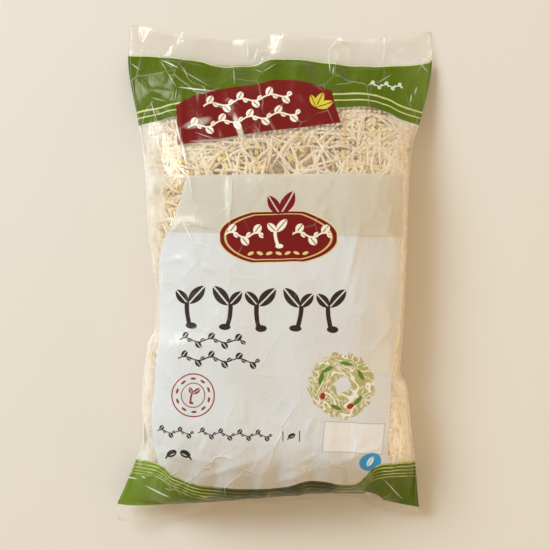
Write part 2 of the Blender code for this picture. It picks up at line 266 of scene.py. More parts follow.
# Each sprout's length, how much it bends and wanders at each station, and how far its neck hooks.
SPROUT_LENGTHS = (32, 66)
SPROUT_BEND = 0.09
SPROUT_WANDER = 0.1
NECK_HOOKS = (0.3, 1.0)
NECK_TURN = 0.7

# The sprouts' depths below the film, as layers of (share, least depth, greatest depth).
SPROUT_LAYERS = [(0.42, 2.3, 3.3), (0.33, 3.8, 5.4), (0.25, 5.8, 8.0)]
HEAD_DEPTH = 4.3
HEAD_STATIONS = 4

# Where the print hides the filling, so that few sprouts are needed: on the front and on the back.
HIDDEN_FRONT = [(-82, 92, -150, 72), (-110, 110, 142, 184), (-70, 40, 116, 150), (-90, 90, -190, -168)]
HIDDEN_BACK = [(-76, 78, -128, 88), (-110, 110, 134, 184), (-110, 110, -190, -164)]
HIDDEN_SHARE = 0.12
STEM_STATIONS = 15
STEM_SIDES = 6
INNER_DEPTH = 8.5
SPINE_INSET = 40
LEAST_SQUARE = 0.4

# Each half of the filling spans these turns round the bag, and each third these y.
BUNCH_BANDS = {"bottom": (-195, -61), "middle": (-61, 51), "top": (51, 184)}
BUNCH_SIDES = ("left", "right")


# The front's print changes from one material to the next where the film is clear.
PRINT_JOIN = 86

# Where the print lies on the front, as (x, y) or (y, x) stations.
BANNER_TOP = [(-85.5, 136.6), (-52.7, 150.5), (-15.7, 156.2), (4.9, 160.7), (43.9, 152.5), (52, 149)]
PANEL_TOP = [(-88, 76.6), (-1.7, 79.4), (106, 82.5)]
PANEL_LEFT = [
    (-185, -96),
    (-160, -94),
    (-141, -99),
    (-92, -97),
    (-50, -95),
    (-1, -96),
    (28, -90),
    (31, -86.8),
    (82, -74),
]
PANEL_RIGHT = [
    (-185, 101),
    (-160, 99),
    (-137, 96),
    (-104, 97),
    (-79, 98),
    (-46, 102),
    (-21, 104),
    (28, 103),
    (31, 105.8),
    (82, 104.4),
]
TOP_BAND_TOP = [
    (-130, 180.7),
    (-102, 179.5),
    (-67, 177),
    (-46, 173),
    (-22, 173.6),
    (-2, 180),
    (38, 177.4),
    (78, 175.7),
    (130, 183.5),
]
TOP_BAND_LOW = [
    (-130, 116),
    (-115, 120),
    (-100, 122.8),
    (-88, 126.3),
    (0, 134),
    (51, 137.5),
    (72, 138),
    (88, 135),
    (101, 129.5),
    (117, 124.8),
    (130, 122),
]
LOW_BAND_TOP = [
    (-130, -161),
    (-99, -159.4),
    (-91, -161.7),
    (-78.6, -170.5),
    (-41, -178.8),
    (0, -178.7),
    (40.6, -171.3),
    (65, -174.9),
    (77.5, -168),
    (97.7, -155.3),
    (130, -157),
]
LOW_BAND_LOW = [
    (-130, -195.5),
    (-121, -198.7),
    (-84, -197),
    (-42, -194),
    (0, -190),
    (50, -184),
    (79.4, -182.5),
    (96.4, -190),
    (130, -196),
]

# Rows of small drawings, as (kind, centre, pitch, how many, size, stroke), and plain rules.
SMALL_ROWS = [
    ("vine", (-50, -57.5), 10.8, 5, 13, 0.55),
    ("vine", (-44.4, -72.7), 11.1, 6, 13, 0.55),
    ("vine", (-79, -133.4), 7.6, 4, 9.5, 0.4),
    ("vine", (-30, -133.4), 7.6, 8, 9.5, 0.4),
    ("bean", (15.8, -133.4), 8.0, 1, 7.5, 0.5),
    ("bean", (-76, -151), 12.5, 2, 11.0, 0.8),
]
BANNER_ROWS = [
    ("vine", (-25.5, 142.2), 12.4, 6, 15.5, 0.7),
    ("vine", (-28.4, 125.2), 11.8, 8, 15.5, 0.7),
]
CORNER_ROW = ("vine", (90, 158), 5.6, 5, 7.5, 0.4)
EMBLEM_ROWS = [
    ("vine", (-27.5, 2.0), 10.5, 3, 17, 0.8),
    ("vine", (27.5, 2.0), 10.5, 3, 17, 0.8),
    ("seedling", (0.0, 3.0), 40, 1, 24, 1.3),
]
SHORT_RULES = [((9, -133.4), (0.4, 4.2)), ((22.5, -133.4), (0.4, 4.2))]

# Long thin creases, painted paler as highlights where the lamp would glint on the film's folds, and standing
# up a little in the bump: start, end, half width, strength.
UPPER_GLINT_CREASES = [
    ((-100.9, 176.2), (-82.6, 168.0), 0.7, 0.8),
    ((-84.6, 168.8), (-56.0, 153.0), 0.5, 0.5),
    ((-100.9, 175.2), (-94.0, 165.8), 0.45, 0.5),
    ((-95.0, 167.0), (-85.1, 151.7), 0.5, 0.45),
    ((-86.1, 152.3), (-51.7, 149.5), 0.9, 0.8),
    ((-85.1, 151.8), (-86.8, 140.2), 0.5, 0.5),
    ((-39.4, 173.7), (-37.3, 154.6), 0.5, 0.5),
    ((-107.5, 143.8), (-92.4, 140.8), 0.5, 0.55),
    ((-106.8, 141.8), (-100.5, 121.7), 0.6, 0.6),
    ((-125.2, 173.2), (-115.9, 166.6), 0.6, 0.6),
    ((-21.0, 169.5), (-13.6, 166.4), 0.45, 0.4),
    ((-14.5, 166.2), (-1.2, 175.8), 0.5, 0.45),
    ((-87.0, 128.5), (-79.0, 102.0), 1.1, 0.75),
    ((-79.8, 108.0), (-74.0, 84.0), 1.7, 0.85),
    ((-37.4, 133.0), (-27.4, 103.5), 3.2, 0.6),
    ((-69.6, 114.4), (-52.0, 108.2), 0.5, 0.45),
    ((-58.0, 141.2), (-39.0, 131.2), 0.5, 0.45),
    ((45.5, 174.0), (44.6, 166.4), 0.55, 0.7),
    ((45.6, 157.8), (63.7, 159.8), 0.45, 0.3),
    ((81.4, 159.0), (95.4, 168.9), 0.5, 0.35),
    ((118.6, 178.8), (126.4, 170.4), 0.5, 0.45),
    ((110.2, 143.6), (112.0, 152.4), 0.8, 0.55),
    ((114.4, 151.0), (116.6, 158.9), 0.8, 0.5),
    ((42.6, 166.5), (41.7, 189.7), 0.6, 0.7),
    ((42.5, 188.1), (48.2, 197.4), 0.8, 0.7),
    ((46.5, 196.9), (56.5, 195.9), 1.4, 0.8),
    ((56.5, 196.7), (59.4, 175.2), 0.6, 0.45),
    ((46.7, 189.0), (51.1, 176.7), 0.8, 0.4),
    ((-27.3, 194.9), (-26.5, 176.7), 1.0, 0.8),
    ((-17.3, 191.8), (-22.7, 173.5), 1.4, 0.6),
    ((-21.3, 185.1), (-9.7, 187.8), 0.8, 0.6),
    ((-34.4, 176.5), (-14.5, 177.8), 2.0, 0.3),
    ((-80.5, 117.4), (-53.3, 126.3), 4.5, 0.35),
    ((99.0, 186.8), (103.9, 191.0), 0.8, 0.5),
    ((-103.7, 77.1), (-95.1, 100.5), 0.9, 0.45),
    ((-97.9, 117.1), (-95.7, 90.6), 1.6, 0.35),
    ((-74.4, 106.0), (-46.3, 108.2), 1.5, 0.25),
    ((-13.1, 112.2), (-7.6, 85.8), 1.0, 0.25),
]
PANEL_GLINT_CREASES = [
    ((-75.5, 86.0), (-67.5, 56.0), 0.9, 0.8),
    ((-36.5, 78.0), (-38.5, 34.0), 1.1, 0.55),
    ((-77.0, 40.5), (-64.5, 18.5), 0.9, 0.5),
    ((-77.0, 40.5), (-50.5, 32.5), 0.6, 0.4),
    ((-13.5, 74.0), (-9.5, 78.5), 0.9, 0.5),
    ((92.0, -168.0), (112.0, -190.0), 0.7, 0.5),
    ((-39.8, 78.5), (-38.1, 37.0), 3.6, 0.35),
    ((-106.6, -180.3), (-80.7, -191.0), 0.9, 0.85),
    ((-122.6, -169.4), (-114.3, -170.9), 0.8, 0.8),
    ((-123.8, -174.9), (-110.0, -176.6), 0.9, 0.8),
    ((-107.6, -172.9), (-103.4, -174.8), 0.9, 0.6),
    ((-101.9, -168.6), (-86.8, -174.9), 0.5, 0.4),
    ((-88.3, -181.6), (-80.0, -183.5), 0.6, 0.5),
    ((-85.2, -171.6), (-75.2, -175.5), 0.5, 0.5),
    ((-58.4, -186.8), (-50.8, -188.7), 0.6, 0.5),
    ((-102.6, 24.0), (-104.7, 5.7), 0.7, 0.4),
    ((-78.1, 42.0), (-65.2, 19.0), 1.2, 0.6),
    ((-65.2, 22.3), (-49.3, 16.8), 1.0, 0.45),
    ((-93.0, 1.0), (-94.1, -25.6), 1.6, 0.35),
    ((-98.9, 5.8), (-100.9, -17.5), 0.8, 0.5),
]

# Leaves and beans in the round picture, as (centre, radii, turn, colour).
LEAF = (0.10, 0.22, 0.03, 1)
RED_BEAN = (0.34, 0.03, 0.02, 1)
STRAND_COLOURS = ((0.58, 0.50, 0.24, 1), (0.72, 0.62, 0.42, 1), (0.36, 0.42, 0.13, 1), (0.86, 0.80, 0.64, 1))
WREATH_LEAVES = [
    ((-17, 6), (5.2, 1.8), 70, LEAF),
    ((-12, 13), (4.8, 1.6), 30, LEAF),
    ((3, 18), (4.6, 1.6), -12, LEAF),
    ((15, 9), (5.0, 1.7), -60, LEAF),
    ((13, -12), (4.8, 1.6), 45, LEAF),
    ((-5, -17), (5.0, 1.7), 160, LEAF),
    ((7, -16), (3.0, 2.2), 20, RED_BEAN),
    ((-16, -8), (2.8, 2.0), 80, RED_BEAN),
]

# The lamps, as (name, place, size, power, colour, casts shadows, lights matt surfaces, shows in gloss).
LAMPS = [
    ("key_lamp", (-2.15, 1.65, 2.1), (1.7, 1.7), 122.0, (0.62, 0.80, 1.0), True, True, False),
    ("gloss_lamp", (-2.3, 1.45, 2.1), (1.7, 1.7), 104.0, (1.0, 0.95, 0.86), True, False, True),
    ("fill_lamp", (2.2, -0.6, 0.8), (1.5, 1.0), 18.0, (1.0, 0.82, 0.60), False, True, True),
]
SKY = (1.0, 0.83, 0.60)
SKY_STRENGTH = 0.535


class FilmSettings(PropertyGroup):
    """The bag's film and its printed colours."""

    fold_height: FloatProperty(name="Fold height", description="Share of each fold's height", default=1.0)
    seed: IntProperty(name="Seed", description="Seed of the small folds", default=4)
    green: FloatVectorProperty(
        name="Band colour",
        description="Colour of both end bands",
        subtype="COLOR",
        size=3,
        default=(0.090, 0.130, 0.002),
    )
    panel: FloatVectorProperty(
        name="Panel colour",
        description="Colour of the printed white panel",
        subtype="COLOR",
        size=3,
        default=(0.73, 0.70, 0.65),
    )
    plate: FloatVectorProperty(
        name="Plate colour",
        description="Colour of the dark red plate and banner",
        subtype="COLOR",
        size=3,
        default=(0.185, 0.006, 0.006),
    )


class SproutSettings(PropertyGroup):
    """The filling."""

    count: IntProperty(name="Sprouts", description="Sprouts in each bunch", default=460)
    stem: FloatProperty(name="Stem radius", description="Radius in mm", default=1.3)
    seed: IntProperty(name="Seed", description="Seed of the sprouts' places", default=7)


class StageSettings(PropertyGroup):
    """The floor, the lamps and the camera."""

    floor: FloatVectorProperty(
        name="Floor colour",
        description="Colour of the floor",
        subtype="COLOR",
        size=3,
        default=(0.80, 0.715, 0.60),
    )
    height: FloatProperty(
        name="Camera height",
        description="Height of the camera above the floor",
        unit="LENGTH",
        default=1.6,
    )
    view_width: FloatProperty(
        name="View width",
        description="Width of the view at the bag's middle height",
        unit="LENGTH",
        default=0.4565,
    )


def along(stations, place):
    """Values on a smooth curve through (place, value) stations that never overshoots them."""
    places, values = np.array(stations, float).T
    rises = np.diff(values) / np.diff(places)
    slopes = np.concatenate([rises[:1], np.zeros(len(rises) - 1), rises[-1:]])
    for n in range(1, len(rises)):
        if rises[n - 1] * rises[n] > 0:
            slopes[n] = 2 * rises[n - 1] * rises[n] / (rises[n - 1] + rises[n])
    n = np.clip(np.searchsorted(places, place) - 1, 0, len(rises) - 1)
    width = places[n + 1] - places[n]
    t = np.clip((place - places[n]) / width, 0, 1)
    return (
        values[n] * (1 + 2 * t) * (1 - t) ** 2
        + values[n + 1] * t * t * (3 - 2 * t)
        + width * t * (1 - t) * (slopes[n] * (1 - t) - slopes[n + 1] * t)
    )


def ramp(value):
    """0 below 0 and 1 above 1, with a smooth rise between."""
    t = np.clip(value, 0, 1)
    return t * t * (3 - 2 * t)


def end_pull(across, y):
    """How far a point moves along y because the filling draws the ends in."""
    at_top = ramp(1 - (TOP_SEAL - y) / PULL_REACH)
    at_bottom = ramp(1 - (y - BOTTOM_SEAL) / PULL_REACH)
    return at_bottom * along(BOTTOM_PULL, across) - at_top * along(TOP_PULL, across)


def seal_wave(x, y):
    """The ripple of the end seals, which fades into the filled part."""
    reach = GATHER_REACH
    near = np.maximum(ramp(1 - (TOP_SEAL - y) / reach), ramp(1 - (y - BOTTOM_SEAL) / reach))
    return near * SEAL_WAVE * np.sin(TAU * x / SEAL_WAVE_LENGTH + np.copysign(SEAL_WAVE_START, y))


def soft_creases(across, y, side):
    """The gathers and dents that the solid model has too."""
    near_top = np.exp(-np.maximum(TOP_SEAL - y, 0) / GATHER_REACH)
    near_bottom = np.exp(-np.maximum(y - BOTTOM_SEAL, 0) / GATHER_REACH)
    gathers = np.cos(TAU * GATHERS_ACROSS * (across + GATHER_OFFSET * side))
    gathers = gathers * np.maximum(near_top, near_bottom)
    dents = sum(
        share * np.sin(TAU * (per_half * across + per_metre * y * MM) + side * n)
        for n, (per_half, per_metre, share) in enumerate(DENT_WAVES, 1)
    )
    filled = (1 - near_top) * (1 - near_bottom)
    return (GATHER_HEIGHT * gathers + DENT_HEIGHT * dents * filled) * (1 - across**4)


def edges(y):
    """The x of the hollow's left and right edges."""
    margin = along(SIDE_MARGIN, y)
    return along(LEFT_EDGE, y) + margin, along(RIGHT_EDGE, y) - margin


def pillow(turn, y):
    """Points of the film before its folds, and how far apart front and back are there.

    A turn goes once round the bag: 0 at the left edge, 0.25 on the front, 0.5 at the right edge
    and 0.75 underneath.
    """
    turn, y = np.broadcast_arrays(np.asarray(turn, float) % 1.0, np.asarray(y, float))
    front = turn < 0.5
    across = -np.cos(TAU * turn)
    left, right = edges(y)
    x = left + (right - left) * (across + 1) / 2
    fullness = np.maximum(1 - np.abs(across) ** SECTION_SHAPE, 0) ** along(SECTION_POWER, y)
    height = along(EDGE_HEIGHT, y) + seal_wave(x, y)
    crease = soft_creases(across, y, np.where(front, 1, -1)) * np.minimum(1, fullness * 2)
    rise = np.maximum(along(FRONT_RISE, y) * fullness + crease, 0.15 * fullness)
    drop = np.maximum(along(BACK_DROP, y) * fullness + crease, 0.15 * fullness)
    tent = SEAM_LIFT * ramp((SEAM_TENT_REACH - np.abs(x - SEAM_MIDDLE)) / SEAM_TENT_SLOPE)
    z = np.where(front, height + rise, np.maximum(height - drop, FILM_OUT + tent))
    thickness = (along(FRONT_RISE, y) + along(BACK_DROP, y)) * fullness
    return np.stack([x, y + end_pull(across, y), z], -1), thickness


def unit(vectors):
    """The same vectors, one long."""
    return vectors / np.maximum(np.linalg.norm(vectors, axis=-1, keepdims=True), 1e-9)


class Skin:
    """The inside of the film as a fine table of points and of directions out of it."""

    TURNS = 720
    ROWS = np.arange(-189.5, 184, 1.0)

    def __init__(self):
        turns = np.arange(self.TURNS) / self.TURNS
        self.points, thickness = pillow(turns[None, :], self.ROWS[:, None])
        whole = (along(FRONT_RISE, self.ROWS) + along(BACK_DROP, self.ROWS))[:, None]
        pinched = np.clip((along(SECTION_POWER, self.ROWS)[:, None] - 0.5) * 2, 0, 1)
        self.room = whole * (thickness / whole) ** pinched
        round_it = np.roll(self.points, -2, 1) - np.roll(self.points, 2, 1)
        along_it = np.gradient(self.points, axis=0)
        self.outwards = unit(np.cross(round_it, along_it))

    def look_up(self, table, turn, y):
        """A table's values at turns and y, blended between its entries."""
        column = (turn % 1.0) * self.TURNS
        row = np.clip(y - self.ROWS[0], 0, len(self.ROWS) - 1.001)
        c, r = column.astype(int), row.astype(int)
        u, v = (column - c)[..., None], (row - r)[..., None]
        c, d = c % self.TURNS, (c + 1) % self.TURNS
        low = table[r, c] * (1 - u) + table[r, d] * u
        high = table[r + 1, c] * (1 - u) + table[r + 1, d] * u
        return low * (1 - v) + high * v

    def inside(self, turn, y, depth):
        """Points at a depth below the film, moved in towards the middle of the filling."""
        place = self.look_up(self.points, turn, y)
        outwards = unit(self.look_up(self.outwards, turn, y))
        left, right = edges(y)
        middle = place.copy()
        middle[..., 0] = np.clip(place[..., 0], left + SPINE_INSET, right - SPINE_INSET)
        middle[..., 2] = along(EDGE_HEIGHT, y)
        inward = unit(middle - place)
        square = -(inward * outwards).sum(-1)
        return place + inward * (depth / np.maximum(square, LEAST_SQUARE))[..., None]


def deselect_all():
    for obj in bpy.context.scene.objects:
        obj.select_set(False)


def take(name, piece, material):
    """Names a finished piece, gives it its material, and makes it ride with the bag."""
    piece.name = piece.data.name = name
    piece.data.materials.clear()
    for each in material if isinstance(material, list) else [material]:
        piece.data.materials.append(each)
    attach(piece, BODY)
    return piece


def put_numbers(mesh, name, values):
    """Stores one number on each vertex, for a material to read."""
    store = mesh.attributes.new(name, "FLOAT", "POINT")
    store.data.foreach_set("value", np.ascontiguousarray(values, np.float32).ravel())


def fold_lift(points, folds):
    """How far sharp folds lift each point, from (start, end, height, half width)."""
    place = points[..., :2]
    lift = np.zeros(place.shape[:-1])
    for start, end, height, width in folds:
        start, end = np.array(start, float), np.array(end, float)
        run = end - start
        t = ((place - start) @ run) / (run @ run)
        gap = place - start - np.clip(t, 0, 1)[..., None] * run
        distance = np.hypot(gap[..., 0], gap[..., 1]) / width
        fade = np.clip(4 * t * (1 - t) + 0.15, 0, 1)
        lift += height * fade / (1 + distance**2) ** 1.5
    return lift


def small_folds(seed, front):
    """Seeded folds, more of them near the seals."""
    rng = np.random.default_rng(seed)
    folds = []
    for _ in range(SMALL_FOLDS):
        y = rng.choice([rng.uniform(-188, -120), rng.uniform(90, 184), rng.uniform(-190, 184)])
        x = rng.uniform(-112, 112)
        towards_end = math.atan2(abs(y) + 60, abs(x) * 0.8 + 1)
        heading = rng.normal(towards_end if x * y > 0 else math.pi - towards_end, 0.55)
        reach = rng.uniform(*SMALL_FOLD_LENGTHS) / 2
        step = np.array([math.cos(heading), math.sin(heading)]) * reach
        height = rng.uniform(*SMALL_FOLD_HEIGHTS) * (1 if front else 0.7) * rng.choice([1, 1, -0.7])
        middle = np.array([x, y])
        folds.append((middle - step, middle + step, height, rng.uniform(*SMALL_FOLD_WIDTHS)))
    return folds


def crumple(points, front):
    """Faceted crumples of stiff film, stronger near the ends."""
    flat = points.reshape(-1, 3)
    found = np.empty(len(flat))
    for n, (x, y, z) in enumerate(flat):
        found[n] = noise.ridged_multi_fractal(
            Vector((x / 46, y / 62 + (0 if front else 9), z / 90)), 0.9, 2.1, 3, 0.85, 2.0
        )
    found = found.reshape(points.shape[:-1])
    found = found - found.mean()
    y = points[..., 1]
    ends = np.maximum(ramp((y - 70) / 60), ramp((-115 - y) / 50))
    coarse = facets(points, 25, 1.7, 3 if front else 4) * (1.0 + 1.9 * ends)
    fine = facets(points, 11, 1.5, 5 if front else 6) * (0.25 + 0.75 * ends)
    return found * (0.25 + 0.35 * ends) + coarse + fine


def facets(points, size, stretch, seed):
    """Heights of a crinkled sheet: flat facets between straight folds, from -0.25 to 1."""
    heights = np.random.default_rng(seed).uniform(-0.25, 1, (64, 64))
    x, y = points[..., 0], points[..., 1]
    u = x / size + 0.42 * np.sin(y / (size * 1.9) + seed) + 0.2 * np.sin(y / (size * 0.7))
    v = y / (size * stretch) + 0.4 * np.sin(x / (size * 1.3) + 2 * seed) + 0.5 * u
    i, j = np.floor(u).astype(int), np.floor(v).astype(int)
    a, b = u - i, v - j
    i, j = i % 64, j % 64
    right, above = (i + 1) % 64, (j + 1) % 64
    low = heights[i, j] + a * (heights[right, j] - heights[i, j]) + b * (heights[i, above] - heights[i, j])
    top = heights[right, above]
    high = top + (1 - a) * (heights[i, above] - top) + (1 - b) * (heights[right, j] - top)
    return np.where(a + b < 1, low, high)


def film_chain(settings, front):
    """Rows of points of the front or back film from side tip to side tip, from the bottom to the top."""
    columns = FRONT_COLUMNS if front else BACK_COLUMNS
    share = np.arange(columns + 1) / columns
    turns = share / 2 if front else 1 - share / 2
    out = FILM_OUT if front else -FILM_OUT
    t = np.linspace(0, 1, BODY_ROWS)
    ys = BOTTOM_SEAL + (TOP_SEAL - BOTTOM_SEAL) * (t - ROW_CROWDING * np.sin(TAU * t) / TAU)
    body, _ = pillow(turns[None, :], ys[:, None])
    round_it = np.gradient(body, axis=1)
    along_it = np.gradient(body, axis=0)
    outwards = unit(np.cross(round_it, along_it)) * (1 if front else -1)
    up = np.array((0, 0, 1.0 if front else -1.0))
    steady = (np.clip(np.minimum(share, 1 - share) / 0.057, 0, 1) ** 2)[None, :, None]
    outwards = outwards * steady + up * (1 - steady)
    across = -np.cos(TAU * turns)
    folds = small_folds(settings.seed + (0 if front else 9), front) + (FRONT_FOLDS if front else [])
    lift = fold_lift(body, folds) * settings.fold_height + crumple(body, front)
    calm = np.clip((1 - across**2) * 3, 0, 1)
    calm = calm * (ramp((ys - BOTTOM_SEAL) / 5) * ramp((TOP_SEAL - ys) / 8))[:, None]
    if not front:
        calm = calm * ramp((np.abs(body[..., 0] - SEAM_MIDDLE) - SEAM_CLEAR) / 8)
    body = body + outwards * (FILM_OUT + lift * calm)[..., None]
    body[..., 2] = np.maximum(body[..., 2], 0.0)
    low_ys = np.linspace(BOTTOM_SEAL - 16, BOTTOM_SEAL - 2, STRIP_ROWS)
    high_ys = np.linspace(TOP_SEAL + 2, TOP_SEAL + TOP_STRIP, STRIP_ROWS)
    rows = [*strip_rows(across, False, out), *body, *strip_rows(across, True, out)]
    chain = np.array([with_ears(row, y, out) for row, y in zip(rows, [*low_ys, *ys, *high_ys])])
    chain[[0, -1], :, 2] -= out
    return chain


def strip_rows(across, at_top, out):
    """Rows of an end strip, where both films are sealed together, from lower to higher y."""
    seal = TOP_SEAL if at_top else BOTTOM_SEAL
    left, right = edges(np.array(float(seal)))
    x = left + (right - left) * (across + 1) / 2
    slope = np.radians(along(TOP_SLOPE if at_top else BOTTOM_SLOPE, across))
    length = TOP_STRIP if at_top else -along(BOTTOM_STRIP, across)
    base_y = seal + end_pull(across, seal)
    base_z = along(EDGE_HEIGHT, seal) + seal_wave(x, seal)
    rows = []
    for part in np.linspace(1, 0.08, STRIP_ROWS):
        y = base_y + part * length * np.cos(slope)
        ripple = part * (1.6 * np.sin(x / 9.5 + 2 * np.sin(x / 31)) + 0.8 * np.sin(x / 4.3 + 1))
        z = np.maximum(base_z + ripple - part * np.abs(length) * np.sin(slope), FILM_OUT)
        rows.append(np.stack([x, y, z + out], -1))
    return rows[::-1] if at_top else rows


def with_ears(row, y, out):
    """A row with the flat film beyond the hollow added on each side, out to its tips."""
    ends = []
    for edge, stations in ((row[0], LEFT_EDGE), (row[-1], RIGHT_EDGE)):
        tip = np.array([along(stations, y), edge[1], edge[2] - out])
        ear = tip + (edge - tip) * (np.arange(EAR_COLUMNS) / EAR_COLUMNS)[:, None]
        ear[1:, 2] = edge[2]
        ends.append(ear)
    return np.concatenate([ends[0], row, ends[1][::-1]])


def wrapped_grid(ring):
    """A grid whose points are a table of rows that each go once round and meet themselves."""
    rows, columns = ring.shape[:2]
    deselect_all()
    bpy.ops.mesh.primitive_grid_add(x_subdivisions=columns, y_subdivisions=rows - 1, size=2)
    made = bpy.context.object
    flat = np.empty(len(made.data.vertices) * 3, np.float32)
    made.data.vertices.foreach_get("co", flat)
    flat = flat.reshape(-1, 3)
    column = np.rint((flat[:, 0] + 1) / 2 * columns).astype(int)
    row = np.rint((flat[:, 1] + 1) / 2 * (rows - 1)).astype(int)
    placed = (ring[row, column % columns] * MM).astype(np.float32)
    made.data.vertices.foreach_set("co", placed.ravel())
    corners = np.empty(len(made.data.loops), np.int32)
    made.data.loops.foreach_get("vertex_index", corners)
    return made, column[corners].reshape(-1, 4).min(axis=1)


def close_up(made, fill=False):
    """Joins the points that lie on each other, fills open ends, and turns the faces outwards."""
    bpy.ops.object.mode_set(mode="EDIT")
    bpy.ops.mesh.select_all(action="SELECT")
    bpy.ops.mesh.remove_doubles(threshold=0.00001)
    if fill:
        bpy.ops.mesh.fill_holes(sides=0)
        bpy.ops.mesh.select_all(action="SELECT")
    bpy.ops.mesh.normals_make_consistent(inside=False)
    bpy.ops.object.mode_set(mode="OBJECT")
    bpy.ops.object.shade_smooth()
    return made


def film_mesh(settings):
    """The whole film: a grid wrapped round the bag and closed at both ends."""
    front, back = film_chain(settings, True), film_chain(settings, False)
    ring = np.concatenate([front, back[:, -2:0:-1]], axis=1)
    film, low_columns = wrapped_grid(ring)
    for _ in range(3):
        film.data.materials.append(None)
    middles = np.empty(len(film.data.polygons) * 3)
    film.data.polygons.foreach_get("center", middles)
    below = middles.reshape(-1, 3)[:, 1] < PRINT_JOIN * MM
    is_back = low_columns >= front.shape[1] - 1
    film.data.polygons.foreach_set("material_index", np.where(is_back, 2, below).astype(np.int32))
    return close_up(film)


def seam_mesh():
    """The back seam: both edges of the film sealed together and folded flat under the bag."""
    deselect_all()
    bpy.ops.mesh.primitive_grid_add(x_subdivisions=8, y_subdivisions=SEAM_ROWS, size=2)
    seam = bpy.context.object
    low, high = BOTTOM_SEAL + 6, TOP_SEAL - 16
    for vertex in seam.data.vertices:
        y = low + (high - low) * (vertex.co.y + 1) / 2
        waver = 0.8 * math.sin(y / 23) + 0.4 * math.sin(y / 7.1)
        x = SEAM_MIDDLE + vertex.co.x * SEAM_WIDTH / 2 + waver
        left, right = edges(y)
        turn = 1 - math.acos(-(2 * (x - left) / (right - left) - 1)) / TAU
        film, _ = pillow(turn, y)
        vertex.co = Vector((film[0], film[1], film[2] - FILM_OUT - 0.28)) * MM
    thick = seam.modifiers.new("film", "SOLIDIFY")
    thick.thickness = 0.25 * MM
    thick.offset = 0
    bpy.ops.object.modifier_apply(modifier=thick.name)
    return seam


def core_mesh(skin):
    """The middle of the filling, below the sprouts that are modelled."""
    turns = np.arange(160) / 160
    ys = np.linspace(-178, 158, 110)
    turn, y = np.broadcast_arrays(turns[None, :], ys[:, None])
    room = skin.look_up(skin.room[..., None], turn, y)[..., 0]
    depth = np.minimum(INNER_DEPTH, 0.42 * room)
    ring = skin.inside(turn, y, depth)
    flat = ring.reshape(-1, 3)
    bumps = np.array([noise.noise(Vector(point) / 5.0) for point in flat]).reshape(room.shape)
    ring[..., 2] += 1.2 * bumps
    core, _ = wrapped_grid(ring)
    return close_up(core, fill=True)


def stem_template():
    """A straight stem with a thin root: its vertices as (place along it, two offsets), and its faces."""
    deselect_all()
    bpy.ops.mesh.primitive_cylinder_add(
        vertices=STEM_SIDES, radius=1, depth=1, end_fill_type="NGON", rotation=(0, math.pi / 2, 0)
    )
    bpy.ops.object.transform_apply(location=True, rotation=True, scale=True)
    stem = bpy.context.object
    bpy.ops.object.mode_set(mode="EDIT")
    bpy.ops.mesh.select_mode(type="EDGE")
    bpy.ops.mesh.select_all(action="DESELECT")
    bpy.ops.object.mode_set(mode="OBJECT")
    for edge in stem.data.edges:
        first, second = (stem.data.vertices[n].co for n in edge.vertices)
        edge.select = abs(first.x - second.x) > 0.5
    bpy.ops.object.mode_set(mode="EDIT")
    bpy.ops.mesh.subdivide(number_cuts=STEM_STATIONS - 2)
    bpy.ops.mesh.select_mode(type="VERT")
    for place in np.linspace(0, 1, STEM_STATIONS):
        width = float(along(STEM_WIDTHS, place))
        select_vertices(stem, lambda co, place=place: abs(co.x + 0.5 - place) < 0.01)
        bpy.ops.transform.resize(value=(1, width, width), center_override=(place - 0.5, 0, 0))
    bpy.ops.object.mode_set(mode="OBJECT")
    return stem


def select_vertices(made, wanted):
    """Selects the vertices whose places are wanted, and leaves edit mode on."""
    bpy.ops.object.mode_set(mode="EDIT")
    bpy.ops.mesh.select_all(action="DESELECT")
    bpy.ops.object.mode_set(mode="OBJECT")
    for vertex in made.data.vertices:
        vertex.select = bool(wanted(vertex.co))
    bpy.ops.object.mode_set(mode="EDIT")


def bean_template():
    """The two halves of a bean, split at the tip, past the end of a stem along X, in millimetres."""
    halves = []
    for side in (-1, 1):
        deselect_all()
        bpy.ops.mesh.primitive_uv_sphere_add(segments=8, ring_count=6, radius=1)
        half = bpy.context.object
        bpy.ops.object.mode_set(mode="EDIT")
        bpy.ops.mesh.select_all(action="SELECT")
        bpy.ops.transform.rotate(value=math.pi / 2, orient_axis="Y", center_override=(0, 0, 0))
        bpy.ops.transform.resize(value=(4.1, 1.25, 2.1), center_override=(0, 0, 0))
        select_vertices(half, lambda co: co.x > 2)
        bpy.ops.transform.translate(value=(0, side * 0.5, 0))
        bpy.ops.mesh.select_all(action="SELECT")
        bpy.ops.transform.rotate(value=-0.2 * side, orient_axis="Z", center_override=(0, 0, 0))
        bpy.ops.transform.translate(value=(3.4, side * 1.05, 0))
        bpy.ops.object.mode_set(mode="OBJECT")
        halves.append(half)
    halves[0].select_set(True)
    bpy.ops.object.join()
    return bpy.context.object


def as_arrays(made):
    """A mesh's vertices, and its faces as lists, after which its object is removed."""
    places = np.array([vertex.co[:] for vertex in made.data.vertices])
    faces = [list(face.vertices) for face in made.data.polygons]
    bpy.data.objects.remove(made)
    return places, faces


